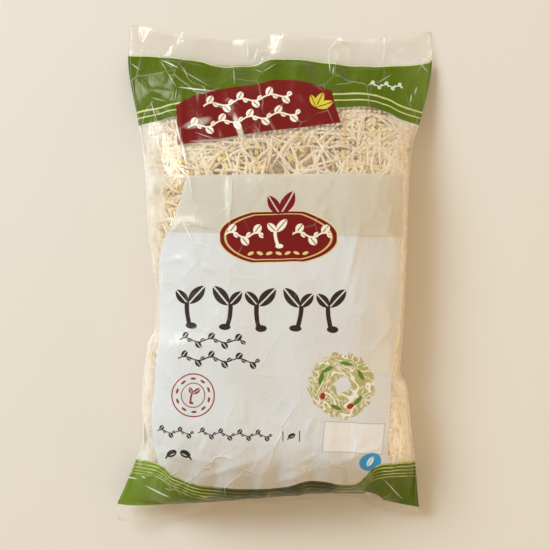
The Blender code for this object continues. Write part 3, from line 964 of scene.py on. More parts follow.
def sprout_paths(skin, settings, band, side, seed):
    """Turns, y and depths of the stations along each sprout of a bunch, one row a sprout."""
    rng = np.random.default_rng(seed)
    found = []
    while sum(len(each[0]) for each in found) < settings.count:
        many = settings.count
        turn = rng.uniform(0, 0.5, many) + (-0.25 if side == "left" else 0.25)
        y = rng.uniform(*band, many)
        keep = rng.uniform(0, 1, many) * STRETCH_MOST < metric(skin, turn, y)[0]
        turn, y = turn[keep], y[keep]
        many = len(turn)
        length = rng.uniform(*SPROUT_LENGTHS, many)
        heading = rng.uniform(0, TAU, many)
        bend = rng.normal(0, SPROUT_BEND, many)
        hook = rng.choice([-1, 1], many) * rng.uniform(*NECK_HOOKS, many)
        stations = np.empty((many, STEM_STATIONS, 2))
        for n in range(STEM_STATIONS):
            stations[:, n] = np.stack([turn, y], -1)
            round_it, along_it = metric(skin, turn, y)
            step = length / (STEM_STATIONS - 1)
            turn = turn + step * np.cos(heading) / np.maximum(round_it, 60)
            y = y + step * np.sin(heading) / along_it
            near_head = n >= STEM_STATIONS - HEAD_STATIONS
            wander = rng.normal(0, SPROUT_WANDER, many)
            heading = heading + bend + wander + (hook * NECK_TURN if near_head else 0)
        turns, ys = stations[..., 0], stations[..., 1]
        room = skin.look_up(skin.room[..., None], turns, np.clip(ys, -189, 183))[..., 0]
        fits = ((ys > -184) & (ys < 172) & (room > 11)).all(axis=1)
        fits &= ~is_hidden(skin, turns, ys) | (rng.uniform(0, 1, many) < HIDDEN_SHARE)
        layer = rng.choice(len(SPROUT_LAYERS), many, p=[share for share, _, _ in SPROUT_LAYERS])
        low = np.array([least for _, least, _ in SPROUT_LAYERS])[layer]
        high = np.array([most for _, _, most in SPROUT_LAYERS])[layer]
        wave = 0.5 + 0.5 * np.sin(
            rng.uniform(0, TAU, many)[:, None]
            + np.linspace(0, 1, STEM_STATIONS)[None, :] * rng.uniform(2, 7, many)[:, None]
        )
        depths = low[:, None] + (high - low)[:, None] * wave
        depths[:, -HEAD_STATIONS:] = np.maximum(depths[:, -HEAD_STATIONS:], HEAD_DEPTH)
        depths = np.minimum(depths, 0.45 * room)
        found.append((turns[fits], ys[fits], depths[fits]))
    return [np.concatenate(each)[: settings.count] for each in zip(*found)]


def is_hidden(skin, turns, ys):
    """Whether the whole of each sprout lies under the print."""
    places = skin.look_up(skin.points, turns, ys)
    x, y = places[..., 0], places[..., 1]
    front = (turns % 1.0) < 0.5
    hidden = np.zeros(x.shape, bool)
    for boxes, facing in ((HIDDEN_FRONT, front), (HIDDEN_BACK, ~front)):
        for left, right, low, high in boxes:
            hidden |= facing & (x > left) & (x < right) & (y > low) & (y < high)
    return hidden.all(axis=1)


def metric(skin, turn, y):
    """How many millimetres of film lie along one turn, and along one millimetre of y."""
    here = skin.look_up(skin.points, turn, y)
    round_it = np.linalg.norm(skin.look_up(skin.points, turn + 0.002, y) - here, axis=-1) / 0.002
    along_it = np.linalg.norm(skin.look_up(skin.points, turn, y + 1.0) - here, axis=-1)
    return round_it, np.maximum(along_it, 0.6)


def bunch_mesh(name, skin, settings, stem, bean, band, side, seed):
    """A bunch of sprouts as one mesh: each a copy of the stem and the bean, bent along its path."""
    rng = np.random.default_rng(seed + 100)
    turns, ys, depths = sprout_paths(skin, settings, band, side, seed)
    places = skin.inside(turns, ys, depths)
    forward = unit(np.gradient(places, axis=1))
    outwards = unit(skin.look_up(skin.outwards, turns, ys))
    sideways = unit(np.cross(outwards, forward))
    up = np.cross(forward, sideways)
    size = settings.stem * rng.uniform(0.8, 1.2, len(turns))
    (stem_points, stem_faces), (bean_points, bean_faces) = stem, bean
    station = np.rint((stem_points[:, 0] + 0.5) * (STEM_STATIONS - 1)).astype(int)
    across, above = stem_points[:, 1], stem_points[:, 2]
    stems = (
        places[:, station]
        + sideways[:, station] * (across * size[:, None])[..., None]
        + up[:, station] * (above * size[:, None])[..., None]
    )
    roll = rng.uniform(0, TAU, len(turns))
    u = np.cos(roll)[:, None] * sideways[:, -1] + np.sin(roll)[:, None] * up[:, -1]
    v = np.cross(forward[:, -1], u)
    scale = rng.uniform(0.7, 1.0, len(turns))[:, None, None]
    beans = places[:, -1][:, None] + scale * (
        bean_points[None, :, 0:1] * forward[:, -1][:, None]
        + bean_points[None, :, 1:2] * u[:, None]
        + bean_points[None, :, 2:3] * v[:, None]
    )
    points = np.concatenate([stems, beans], axis=1)
    each = points.shape[1]
    pattern = stem_faces + [[n + len(stem_points) for n in face] for face in bean_faces]
    faces = [[n + k * each for n in face] for k in range(len(points)) for face in pattern]
    mesh = bpy.data.meshes.new(name)
    mesh.from_pydata((points.reshape(-1, 3) * MM).tolist(), [], faces)
    part = np.concatenate([stem_points[:, 0] + 0.5, np.full(len(bean_points), 1.5)])
    put_numbers(mesh, "part", np.tile(part, len(points)))
    put_numbers(mesh, "tone", np.repeat(rng.uniform(0, 1, len(points)), each))
    made = bpy.data.objects.new(name, mesh)
    bpy.context.scene.collection.objects.link(made)
    mesh.shade_smooth()
    return made


def tint(red, green, blue):
    """A colour on screen from 0 to 255, as the linear colour that a material takes."""
    shares = [each / 255 for each in (red, green, blue)]
    return (*(each / 12.92 if each < 0.04045 else ((each + 0.055) / 1.055) ** 2.4 for each in shares), 1)


class Value:
    """A socket of a material that Python's operators work on, by adding Math nodes."""

    def __init__(self, paint, socket):
        self.paint = paint
        self.socket = socket

    def part(self, name):
        """Another output of the same node."""
        return Value(self.paint, self.socket.node.outputs[name])

    def __add__(self, other):
        return self.paint.maths("ADD", self, other)

    __radd__ = __add__

    def __sub__(self, other):
        return self.paint.maths("SUBTRACT", self, other)

    def __rsub__(self, other):
        return self.paint.maths("SUBTRACT", other, self)

    def __mul__(self, other):
        return self.paint.maths("MULTIPLY", self, other)

    __rmul__ = __mul__

    def __truediv__(self, other):
        return self.paint.maths("DIVIDE", self, other)

    def __mod__(self, other):
        return self.paint.maths("FLOORED_MODULO", self, other)

    def __abs__(self):
        return self.paint.maths("ABSOLUTE", self)


class Paint:
    """A material under construction."""

    def __init__(self, name):
        self.material = bpy.data.materials.new(name)
        self.material.use_nodes = True
        self.material.node_tree.nodes.clear()

    def node(self, kind, settings=None, inputs=None, output=0):
        """A new node, with its settings first and then its sockets' values or links."""
        made = self.material.node_tree.nodes.new(kind)
        for name, value in (settings or {}).items():
            if name == "stops":
                stops = made.color_ramp.elements
                for place, colour in value[1:-1]:
                    stops.new(place).color = colour
                stops[0].position, stops[0].color = value[0]
                stops[-1].position, stops[-1].color = value[-1]
            elif name == "points":
                points = made.mapping.curves[0].points
                points[0].location, points[1].location = value[0], value[-1]
                for point in value[1:-1]:
                    points.new(*point)
                made.mapping.update()
            else:
                setattr(made, name, value)
        for name, value in (inputs or {}).items():
            if isinstance(value, Value):
                self.material.node_tree.links.new(value.socket, made.inputs[name])
            else:
                made.inputs[name].default_value = value
        return Value(self, made.outputs[output]) if made.outputs else made

    def maths(self, operation, *values):
        """One Math node on numbers."""
        return self.node("ShaderNodeMath", {"operation": operation}, dict(enumerate(values)))

    def vector_maths(self, operation, *values, output=0):
        """One Vector Math node."""
        return self.node("ShaderNodeVectorMath", {"operation": operation}, dict(enumerate(values)), output)

    def lowest(self, *values):
        """The lowest of several values."""
        low = values[0]
        for each in values[1:]:
            low = self.maths("MINIMUM", low, each)
        return low

    def highest(self, *values):
        """The highest of several values."""
        high = values[0]
        for each in values[1:]:
            high = self.maths("MAXIMUM", high, each)
        return high

    def blend(self, below, above, share):
        """One colour over another."""
        settings = {"data_type": "RGBA", "clamp_factor": True}
        return self.node("ShaderNodeMix", settings, {0: share, 6: below, 7: above}, 2)

    def between(self, low, high, share):
        """A number between two others."""
        return self.node("ShaderNodeMix", {"data_type": "FLOAT"}, {0: share, 2: low, 3: high})

    def smooth(self, value, start, end):
        """0 at start and 1 at end, with a smooth rise between, whichever way they lie."""
        limits = {"Value": value, "From Min": start, "From Max": end}
        return self.node("ShaderNodeMapRange", {"interpolation_type": "SMOOTHSTEP"}, limits)

    def inside(self, distance, soft=0.22):
        """1 inside a shape whose distance is negative there."""
        return self.smooth(distance, soft, -soft)

    def curve(self, value, stations):
        """A smooth curve through (place, value) stations."""
        places, values = np.array(stations, float).T
        low, high = values.min(), values.max()
        points = [
            ((place - places[0]) / (places[-1] - places[0]), (each - low) / (high - low))
            for place, each in zip(places, values)
        ]
        limits = {"Value": value, "From Min": places[0], "From Max": places[-1]}
        share = self.node("ShaderNodeMapRange", {"clamp": True}, limits)
        curved = self.node("ShaderNodeFloatCurve", {"points": points}, {"Value": share})
        return curved * (high - low) + low

    def millimetres(self):
        """The place on the piece, in millimetres."""
        return self.scaled(self.node("ShaderNodeTexCoord", output="Object"), 1000)

    def scaled(self, vector, times):
        """A vector made longer."""
        return self.node("ShaderNodeVectorMath", {"operation": "SCALE"}, {0: vector, "Scale": times})

    def line(self, value, times, plus):
        """A value times one number plus another."""
        return self.maths("MULTIPLY_ADD", value, times, plus)

    def local(self, place, centre, turn=0.0, size=(1, 1)):
        """The place seen from a centre that is turned by degrees and scaled, as its x and y."""
        x, y = place
        across, up = math.cos(math.radians(turn)), math.sin(math.radians(turn))
        if turn == 0:
            return (
                self.line(x, 1 / size[0], -centre[0] / size[0]),
                self.line(y, 1 / size[1], -centre[1] / size[1]),
            )
        shift = -(centre[0] * across + centre[1] * up) / size[0]
        rise = (centre[0] * up - centre[1] * across) / size[1]
        return (
            self.line(x, across / size[0], self.line(y, up / size[0], shift)),
            self.line(y, across / size[1], self.line(x, -up / size[1], rise)),
        )

    def squared(self, x, y):
        """The square of the distance from the middle."""
        return self.maths("MULTIPLY_ADD", x, x, y * y)

    def away(self, place, centre=(0, 0)):
        """The distance from a centre."""
        x, y = self.local(place, centre) if centre != (0, 0) else place
        return self.maths("SQRT", self.squared(x, y))

    def flat(self, vector):
        """The vector without its height."""
        return self.vector_maths("MULTIPLY", vector, (1, 1, 0))

    def parts(self, vector):
        """The x and y of a vector."""
        split = self.node("ShaderNodeSeparateXYZ", None, {0: vector})
        return split, split.part("Y")

    def oval(self, place, centre, radii, turn=0.0):
        """Distance outside an oval, about right near its edge."""
        half = min(radii) / 2
        return self.line(self.squared(*self.local(place, centre, turn, radii)), half, -half)

    def block(self, place, centre, halves, turn=0.0):
        """Distance outside a rectangle."""
        x, y = self.local(place, centre, turn)
        return self.highest(abs(x) - halves[0], abs(y) - halves[1])

    def repeated(self, place, pitch, count):
        """The place in its cell of a row, every other one mirrored, and how far it is past the row."""
        x, y = place
        start = -pitch * count / 2
        from_start = x - start
        flip = 1 - (self.maths("FLOOR", from_start / pitch) % 2) * 2
        middle = from_start % pitch - pitch / 2
        return (middle * flip, y), abs(x) - pitch * count / 2

    def grain(self, vector, scale, detail=2.0, roughness=0.5, distortion=0.0):
        """Soft noise from 0 to 1."""
        inputs = {
            "Vector": vector,
            "Scale": scale,
            "Detail": detail,
            "Roughness": roughness,
            "Distortion": distortion,
        }
        return self.node("ShaderNodeTexNoise", None, inputs)


def leaf_mark(paint, place, foot, turn, length, half_width):
    """Distance outside a leaf that grows from its foot, with two pointed ends and a rib."""
    half = length / 2
    radius = (half * half + half_width * half_width) / (2 * half_width)
    angle = math.radians(turn)
    centre = (foot[0] + half * math.cos(angle), foot[1] + half * math.sin(angle))
    x, y = paint.local(place, centre, turn)
    aside = abs(y)
    edge = paint.squared(x, aside + (radius - half_width))
    return paint.highest(paint.line(edge, 0.5 / radius, -0.5 * radius), 0.12 * half_width - aside)


def seedling_mark(paint, place, height, stroke):
    """Distance outside a drawn seedling: a bent stem with two leaves, one larger, and a seed at its foot."""
    x, y = place
    bow = paint.maths("SINE", paint.line(y, 3.1 / height, 1.55))
    stem = paint.highest(
        abs(paint.line(bow, 0.1 * height, x)) - stroke, abs(y + 0.19 * height) - 0.27 * height
    )
    top = (-0.07 * height, 0.04 * height)
    large = leaf_mark(paint, place, top, 48, 0.56 * height, 0.135 * height)
    small = leaf_mark(paint, place, top, 132, 0.42 * height, 0.115 * height)
    seed = paint.oval(place, (0.02 * height, -0.43 * height), (0.13 * height, 0.075 * height))
    return paint.lowest(stem, large, small, seed)


def bean_mark(paint, place, size, stroke):
    """Distance outside a plump bean with a thin scar along its side and a short root."""
    seed = paint.oval(place, (0.04 * size, 0.04 * size), (0.42 * size, 0.27 * size), 24)
    scar = paint.oval(place, (0.1 * size, -0.02 * size), (0.2 * size, 0.035 * size), 24)
    root = paint.oval(place, (-0.34 * size, -0.26 * size), (0.19 * size, stroke), 62)
    return paint.lowest(paint.highest(seed, scar * -1), root)


def vine_mark(paint, place, pitch, count, size, stroke):
    """Distance outside a row of leaves on a wavy stem, which point up and down in turn."""
    x, y = place
    from_start = x + pitch * count / 2
    side = 1 - (paint.maths("FLOOR", from_start / pitch) % 2) * 2
    across, up = from_start % pitch - pitch / 2, y * side
    rise = 0.12 * size
    stem = abs(up - paint.maths("COSINE", across * (math.pi / pitch)) * rise) - stroke
    large = leaf_mark(paint, (across, up), (-0.2 * pitch, 0.7 * rise), 52, 0.52 * size, 0.19 * size)
    small = leaf_mark(paint, (across, up), (0.16 * pitch, 0.8 * rise), -40, 0.34 * size, 0.12 * size)
    return paint.highest(paint.lowest(stem, large, small), abs(x) - pitch * count / 2)


def row_mark(paint, place, row, turn=0.0):
    """Distance outside a row of like drawings."""
    kind, centre, pitch, count, size, stroke = row
    seen = paint.local(place, centre, turn)
    if kind == "vine":
        return vine_mark(paint, seen, pitch, count, size, stroke)
    cell, beyond = paint.repeated(seen, pitch, count)
    drawn = seedling_mark if kind == "seedling" else bean_mark
    return paint.highest(drawn(paint, cell, size, stroke), beyond)


def banner_mark(paint, place):
    """Distance outside the tilted banner."""
    x, y = place
    top = paint.curve(x, BANNER_TOP)
    bottom = 102.8 + (x + 82.3) * 0.1624
    left = (y - 102.8) * -0.095 - 82.3
    right = (y - 124.6) * -0.287 + 51.9
    return paint.highest(y - top, bottom - y, left - x, x - right)


class Print:
    """Layers of ink laid one over another, with painted highlights over them, and how much they cover the
    clear film.
    """

    def __init__(self, paint):
        self.paint = paint
        self.colour = tint(251, 244, 228)
        self.cover = 0.0
        self.ridges_and_glints = 0.0

    def lay(self, mask, colour, opacity):
        """Lays one colour where the mask is 1."""
        self.colour = self.paint.blend(self.colour, colour, mask)
        self.cover = self.paint.between(self.cover, opacity, mask)

    def add(self, distance, colour, opacity, soft=0.22):
        """Lays one colour inside a shape whose distance is negative there."""
        self.lay(self.paint.inside(distance, soft), colour, opacity)

    def lay_painted_highlight(self, share):
        """Lays a painted highlight: makes the ink and the film paler, without uncovering anything."""
        self.colour = self.paint.blend(self.colour, tint(250, 245, 222), share)
        self.cover = self.paint.highest(self.cover, share)

    def crease(self, place, creases):
        """Creases painted paler as highlights in place of the lamp's glints, which stand up a little in the
        bump, thin at both ends.
        """
        paint = self.paint
        for start, end, half_width, strength in creases:
            run = (end[0] - start[0], end[1] - start[1])
            middle = ((start[0] + end[0]) / 2, (start[1] + end[1]) / 2)
            radii = (math.hypot(*run) / 2, half_width)
            x, y = paint.local(place, middle, math.degrees(math.atan2(run[1], run[0])), radii)
            ridge = paint.smooth(paint.squared(x, y), 1.0, 0.15) * strength
            self.ridges_and_glints = paint.highest(self.ridges_and_glints, ridge)
        # Each ridge is painted paler as a highlight.
        self.lay_painted_highlight(self.ridges_and_glints)


def upper_print(paint, flat, settings):
    """The print on the front above the panel: window dots, the top band and the banner."""
    place = paint.parts(flat)
    x, y = place
    green, plate = (*settings.green, 1), (*settings.plate, 1)
    pale, rim = tint(244, 232, 208), tint(212, 212, 146)
    inks = Print(paint)

    top_edge, top_low = paint.curve(x, TOP_BAND_TOP), paint.curve(x, TOP_BAND_LOW)
    window = paint.highest(paint.smooth(x, 10, 45), paint.smooth(x, -62, -84), paint.smooth(y, 98, 118))
    window = window * paint.smooth(y, 86, 96) * paint.smooth(top_low - y, -1, 0)
    patches = 0.4 + 0.6 * paint.smooth(paint.grain(flat, 0.09, 2), 0.35, 0.55)
    spots = paint.inside(paint.away((x % 4.3 - 2.15, y % 3.9 - 1.95)) - 1.25, 0.5)
    inks.lay(spots * patches * window, tint(238, 216, 190), 0.74)
    # Painted highlight: a pale veil over the upper left of the window, where the lamp's glare lies on the
    # film.
    painted_glare = paint.away(paint.local(place, (-64, 97), 8, (24, 15)))
    inks.lay_painted_highlight(paint.smooth(painted_glare, 1.25, 0.35) * 0.26)

    # Painted highlight: the top band's green turns lighter towards its right ear, standing in for the glare
    # on it.
    green_with_painted_light = paint.blend(green, tint(122, 140, 58), paint.smooth(x, 92, 122) * 0.5)
    inks.add(paint.highest(y - top_edge, top_low - y), green_with_painted_light, 1.0, 0.3)
    inks.add(paint.highest(y - top_edge, top_edge - 1.1 - y), rim, 0.9)
    for up, half in ((6.2, 0.55), (11.6, 0.75)):
        inks.add(paint.highest(abs(y - top_low - up) - half, y - top_edge), tint(206, 205, 138), 0.95)

    banner = banner_mark(paint, place)
    inks.add(banner, plate, 0.985)
    for row in BANNER_ROWS:
        inks.add(paint.highest(row_mark(paint, place, row, 9.2), banner + 2), pale, 1.0)
    for turn, length, half_width in ((20, 16, 3.6), (66, 15, 3.4), (112, 12, 2.8)):
        inks.add(leaf_mark(paint, place, (31, 137), turn, length, half_width), tint(216, 194, 60), 1.0)
    inks.add(row_mark(paint, place, CORNER_ROW, -3), tint(226, 232, 206), 1.0)
    # Painted highlights along the film's creases, in place of the lamp's glints.
    inks.crease(place, UPPER_GLINT_CREASES)
    return inks


def panel_print(paint, flat, settings):
    """The print on the front from the panel down."""
    place = paint.parts(flat)
    x, y = place
    green, panel, plate = ((*each, 1) for each in (settings.green, settings.panel, settings.plate))
    ink, red, pale = tint(52, 38, 34), tint(150, 62, 55), tint(244, 232, 208)
    inks = Print(paint)
    add = inks.add

    beyond = paint.highest(paint.curve(y, PANEL_LEFT) - x, x - paint.curve(y, PANEL_RIGHT))
    add(paint.highest(y - paint.curve(x, PANEL_TOP), 29 - y, beyond), tint(217, 207, 187), 0.88, 0.4)
    # Painted shade: the panel's colour darkens towards the bottom, where the film slopes away from the
    # lamps.
    panel_with_painted_shade = paint.blend(panel, tint(196, 184, 166), paint.smooth(y, -128, -176) * 0.6)
    add(paint.highest(y - 30, -184 - y, beyond), panel_with_painted_shade, 0.965, 0.4)

    name, beyond = paint.repeated(paint.local(place, (-10.4, -30), -0.5), 28.8, 5)
    add(paint.highest(seedling_mark(paint, name, 37, 1.9), beyond), ink, 1.0)
    for row in SMALL_ROWS:
        add(row_mark(paint, place, row), ink, 1.0)
    for centre, halves in SHORT_RULES:
        add(paint.block(place, centre, halves), ink, 0.9)

    seal = paint.local(place, (-64.6, -102.7), -14)
    away = paint.away(seal)
    add(paint.lowest(abs(away - 17.3) - 0.55, abs(away - 9.6) - 0.4), red, 0.95)
    add(seedling_mark(paint, seal, 14.5, 0.8), red, 0.95)
    for step in range(10):
        turn = step * TAU / 10
        centre = (13.4 * math.cos(turn), 13.4 * math.sin(turn))
        add(paint.oval(seal, centre, (2.3, 1.0), math.degrees(turn) + 90), red, 0.95)

    wreath = paint.local(place, (56.5, -92.1))
    around = paint.away(wreath)
    ragged = paint.grain(flat, 0.16, 2) * 9 - 4.5
    inside = paint.highest(around - 26.5 + ragged, 6.5 - around - ragged)
    heap = paint.inside(inside, 0.6)
    inks.lay(heap, tint(188, 164, 112), 1.0)
    for height, colour in enumerate(STRAND_COLOURS):
        moved = paint.vector_maths("ADD", flat, (0, 0, 30.0 * height))
        strands = abs(paint.grain(moved, 0.05, 1, 0.5, 0.8) * 9 % 1 - 0.5)
        inks.lay(paint.smooth(strands, 0.17, 0.08) * heap, colour, 1.0)
    for centre, radii, turn, colour in WREATH_LEAVES:
        add(paint.oval(wreath, centre, radii, turn), colour, 1.0, 0.3)

    label = paint.block(place, (67.1, -134.6), (24.7, 12.6), -2)
    add(label, tint(236, 230, 222), 0.97)
    add(abs(label) - 0.3, tint(186, 178, 166), 0.95)
    add(paint.oval(place, (81.6, -154.6), (9.6, 7.4), 20), tint(60, 150, 205), 1.0, 0.3)
    add(leaf_mark(paint, place, (78.6, -158.6), 58, 10.5, 2.2), tint(235, 240, 240), 1.0, 0.3)

    emblem = paint.local(place, (1.9, 28.1), 1.2)
    shape = paint.highest(
        paint.oval(emblem, (0, 0), (50.2, 23.5)),
        paint.block(emblem, (0, 0), (48.6, 21.3)),
    )
    add(shape, tint(226, 205, 158), 1.0)
    add(shape + 0.9, plate, 1.0)
    add(abs(shape + 3.0) - 0.35, tint(222, 190, 120), 1.0)
    for row in EMBLEM_ROWS:
        add(row_mark(paint, emblem, row), pale, 1.0)
    row, beyond = paint.repeated(paint.local(emblem, (0, -13.2)), 7.4, 7)
    add(paint.highest(paint.oval(row, (0, 0), (2.6, 1.3), 20), beyond), tint(226, 196, 130), 1.0)
    for turn, length, half_width in ((124, 19, 4.6), (62, 23, 5.4)):
        add(leaf_mark(paint, place, (3.5, 46), turn, length, half_width), plate, 1.0)

    low_edge, low_low = paint.curve(x, LOW_BAND_TOP), paint.curve(x, LOW_BAND_LOW)
    # Painted shade: the low band and its stripes are darkened in the middle, where the film turns under the
    # bag.
    middle = paint.smooth(abs(x - 12), 78, 34)
    # Painted light: the low band's green is made lighter towards its left end.
    green_with_painted_light = paint.blend(green, tint(116, 138, 44), paint.smooth(x, -60, -100))
    turned = paint.blend(green_with_painted_light, tint(54, 50, 24), middle * 0.85)
    add(paint.highest(y - low_edge, low_low - y), turned, 1.0, 0.3)
    # Painted sheen: the printed stripes are laid in patches, as the sheen on them comes and goes.
    broken_sheen = 0.35 + 0.65 * paint.smooth(paint.grain(flat, 0.1, 2), 0.38, 0.56)
    stripe_with_painted_shade = paint.blend(tint(190, 194, 116), tint(92, 90, 50), middle)
    for down, half in ((0.6, 0.6), (3.6, 0.55), (6.6, 0.5), (9.4, 0.42), (12.0, 0.35)):
        line = paint.inside(paint.highest(abs(low_edge - y - down) - half, low_low - y))
        inks.lay(line * broken_sheen, stripe_with_painted_shade, 0.98)
    # Painted highlights along the film's creases, in place of the lamp's glints.
    inks.crease(place, PANEL_GLINT_CREASES)
    return inks


def printed_film(name, lay_print, settings):
    """Clear film with part of its print, which follows the film's slight stretch."""
    paint = Paint(name)
    bare = paint.millimetres()
    shift = paint.node("ShaderNodeTexNoise", None, {"Vector": bare, "Scale": 0.03, "Detail": 1.0}, "Color")
    shift = paint.vector_maths("SUBTRACT", shift, (0.5, 0.5, 0.5))
    flat = paint.flat(paint.vector_maths("ADD", bare, paint.scaled(shift, 3.0)))
    return finish_film(paint, bare, lay_print(paint, flat, settings))


def back_print(paint, flat, settings):
    """The plain print on the back: a panel with rules, and both bands."""
    x, y = paint.parts(flat)
    green, panel = (*settings.green, 1), (*settings.panel, 1)
    ink = tint(74, 66, 60)
    stretched = paint.vector_maths("MULTIPLY", flat, (0.05, 0.6, 1))
    gaps = paint.inside(4.5 - paint.grain(stretched, 1.0, 2) * 9, 0.2)
    rules = paint.highest(abs(y % 6.4 - 3.2) - 0.5, abs(y + 20) - 104, abs(x + 6) - 66)
    inks = Print(paint)
    inks.add(paint.highest(y - 96, -136 - y, abs(x - 1) - 84), panel, 0.95)
    inks.lay(paint.inside(rules) * gaps, ink, 0.9)
    inks.add(abs(y - 151) - 23, green, 1.0)
    for place, half in ((134, 0.6), (139, 0.8)):
        inks.add(abs(y - place) - half, tint(206, 205, 138), 0.95)
    inks.add(abs(y + 173) - 13, green, 1.0)
    for place, half in ((-163, 0.6), (-166, 0.5)):
        inks.add(abs(y - place) - half, tint(198, 199, 126), 0.9)
    return inks


def finish_film(paint, place, inks):
    """The film's gloss, haze and fine crumples, with its print, painted highlights along its fold lines and
    painted sheen towards its sides.
    """
    x, y = paint.parts(place)
    filled = paint.smooth(abs(y), 196, 165)
    sides = paint.smooth(abs(x), 84, 106) * filled
    ends = paint.smooth(abs(y), 90, 160)

    shift = paint.node("ShaderNodeTexNoise", None, {"Vector": place, "Scale": 0.04, "Detail": 1.0}, "Color")
    bent = paint.vector_maths("ADD", place, paint.scaled(shift, 9.0))
    bent = paint.vector_maths("MULTIPLY", bent, (1, 0.7, 1))
    cells = paint.node("ShaderNodeTexVoronoi", None, {"Vector": bent, "Scale": 0.036})
    lines = paint.node(
        "ShaderNodeTexVoronoi", {"feature": "DISTANCE_TO_EDGE"}, {"Vector": bent, "Scale": 0.036}
    )
    patches = paint.smooth(paint.grain(place, 0.025, 1), 0.42, 0.6)
    # Thin fold lines between the crinkled facets, raised in the bump and painted paler as highlights where
    # the lamp would glint on them.
    sharp = paint.smooth(lines, 0.03, 0.0) * patches * (0.3 + ends * 0.7)
    inks.lay_painted_highlight(sharp * 0.22)
    colour, cover = inks.colour, inks.cover

    haze = paint.grain(place, 0.05, 3)
    glance = paint.node("ShaderNodeFresnel", None, {"IOR": 1.42})
    # The haze is partly the film's own; towards the sides it thickens into painted sheen, as the curving
    # film looks brighter there.
    haze_and_painted_side_sheen = 0.03 + haze * (0.08 + 0.13 * filled + 0.82 * sides)
    gloss = paint.lowest(glance * 0.9, 0.1)
    share = paint.maths("MINIMUM", paint.highest(cover, haze_and_painted_side_sheen + gloss), 1.0)
    printed = paint.smooth(cover, 0.0, 0.5)
    stretched = paint.vector_maths("MULTIPLY", place, (1, 0.55, 1))
    crumple = paint.grain(stretched, 0.09, 3, 0.5, 0.6)
    height = crumple * (0.45 + ends * 0.45) + cells * (0.8 + ends * 1.1) + sharp * 0.3 + inks.ridges_and_glints * 0.5
    bump = paint.node("ShaderNodeBump", None, {"Strength": 0.7, "Distance": 0.0022, "Height": height})
    shader = paint.node(
        "ShaderNodeBsdfPrincipled",
        None,
        {
            "Base Color": colour,
            "Metallic": (1 - printed) * (gloss / (gloss + haze_and_painted_side_sheen)),
            "Roughness": 0.11 + printed * 0.13 + haze * 0.05,
            "Coat Weight": printed * 0.1,
            "Coat Roughness": 0.1,
            "IOR": 1.45,
            "Specular IOR Level": 0.26,
            "Normal": bump,
        },
    )
    through = paint.node("ShaderNodeBsdfTransparent")
    mixed = paint.node("ShaderNodeMixShader", None, {0: share, 1: through, 2: shader})
    paint.node("ShaderNodeOutputMaterial", None, {"Surface": mixed})
    return paint.material


def seam_film():
    """The back seam's film, pressed into fine ribs along its length."""
    paint = Paint("sealed_film")
    place = paint.millimetres()
    x, _ = paint.parts(place)
    ribs = paint.maths("SINE", x * 4.2)
    haze = paint.grain(place, 0.08, 3)
    bump = paint.node("ShaderNodeBump", None, {"Strength": 0.6, "Distance": 0.0004, "Height": ribs})
    shader = paint.node(
        "ShaderNodeBsdfPrincipled",
        None,
        {
            "Base Color": paint.blend(tint(236, 233, 222), tint(214, 208, 190), haze),
            "Roughness": 0.22 + haze * 0.1,
            "Normal": bump,
        },
    )
    through = paint.node("ShaderNodeBsdfTransparent")
    mixed = paint.node("ShaderNodeMixShader", None, {0: 0.45 + haze * 0.3, 1: through, 2: shader})
    paint.node("ShaderNodeOutputMaterial", None, {"Surface": mixed})
    return paint.material


def sprout_flesh():
    """Cream stems with brown root tips and yellow beans, faintly moist."""
    paint = Paint("sprout")
    place = paint.millimetres()
    part = paint.node("ShaderNodeAttribute", {"attribute_name": "part"}, output="Fac")
    tone = paint.node("ShaderNodeAttribute", {"attribute_name": "tone"}, output="Fac")
    along_stem = paint.node(
        "ShaderNodeValToRGB",
        {
            "stops": [
                (0.0, tint(160, 112, 62)),
                (0.1, tint(208, 170, 118)),
                (0.25, tint(234, 210, 174)),
                (0.6, tint(245, 226, 199)),
                (0.9, tint(240, 221, 180)),
                (1.0, tint(234, 212, 142)),
            ]
        },
        {0: part},
    )
    beans = paint.node(
        "ShaderNodeValToRGB",
        {
            "stops": [
                (0.0, tint(238, 222, 172)),
                (0.5, tint(234, 212, 140)),
                (0.66, tint(226, 190, 66)),
                (0.9, tint(216, 174, 44)),
                (0.96, tint(190, 130, 52)),
                (1.0, tint(168, 160, 70)),
            ]
        },
        {0: tone},
    )
    colour = paint.blend(along_stem, beans, paint.smooth(part, 1.1, 1.3))
    stain = paint.grain(place, 0.25, 3)
    colour = paint.blend(colour, tint(206, 172, 104), paint.smooth(stain, 0.5, 0.85) * 0.55)
    colour = paint.blend(colour, tint(232, 210, 158), paint.smooth(tone, 0.55, 1.0) * 0.4)
    streak = paint.grain(paint.vector_maths("MULTIPLY", place, (1, 1, 0.3)), 1.4, 2)
    bump = paint.node("ShaderNodeBump", None, {"Strength": 0.4, "Distance": 0.0004, "Height": streak})
    shader = paint.node(
        "ShaderNodeBsdfPrincipled",
        None,
        {
            "Base Color": colour,
            "Roughness": 0.44 + stain * 0.14,
            "Coat Weight": 0.08,
            "Coat Roughness": 0.2,
            "Normal": bump,
        },
    )
    paint.node("ShaderNodeOutputMaterial", None, {"Surface": shader})
    return paint.material


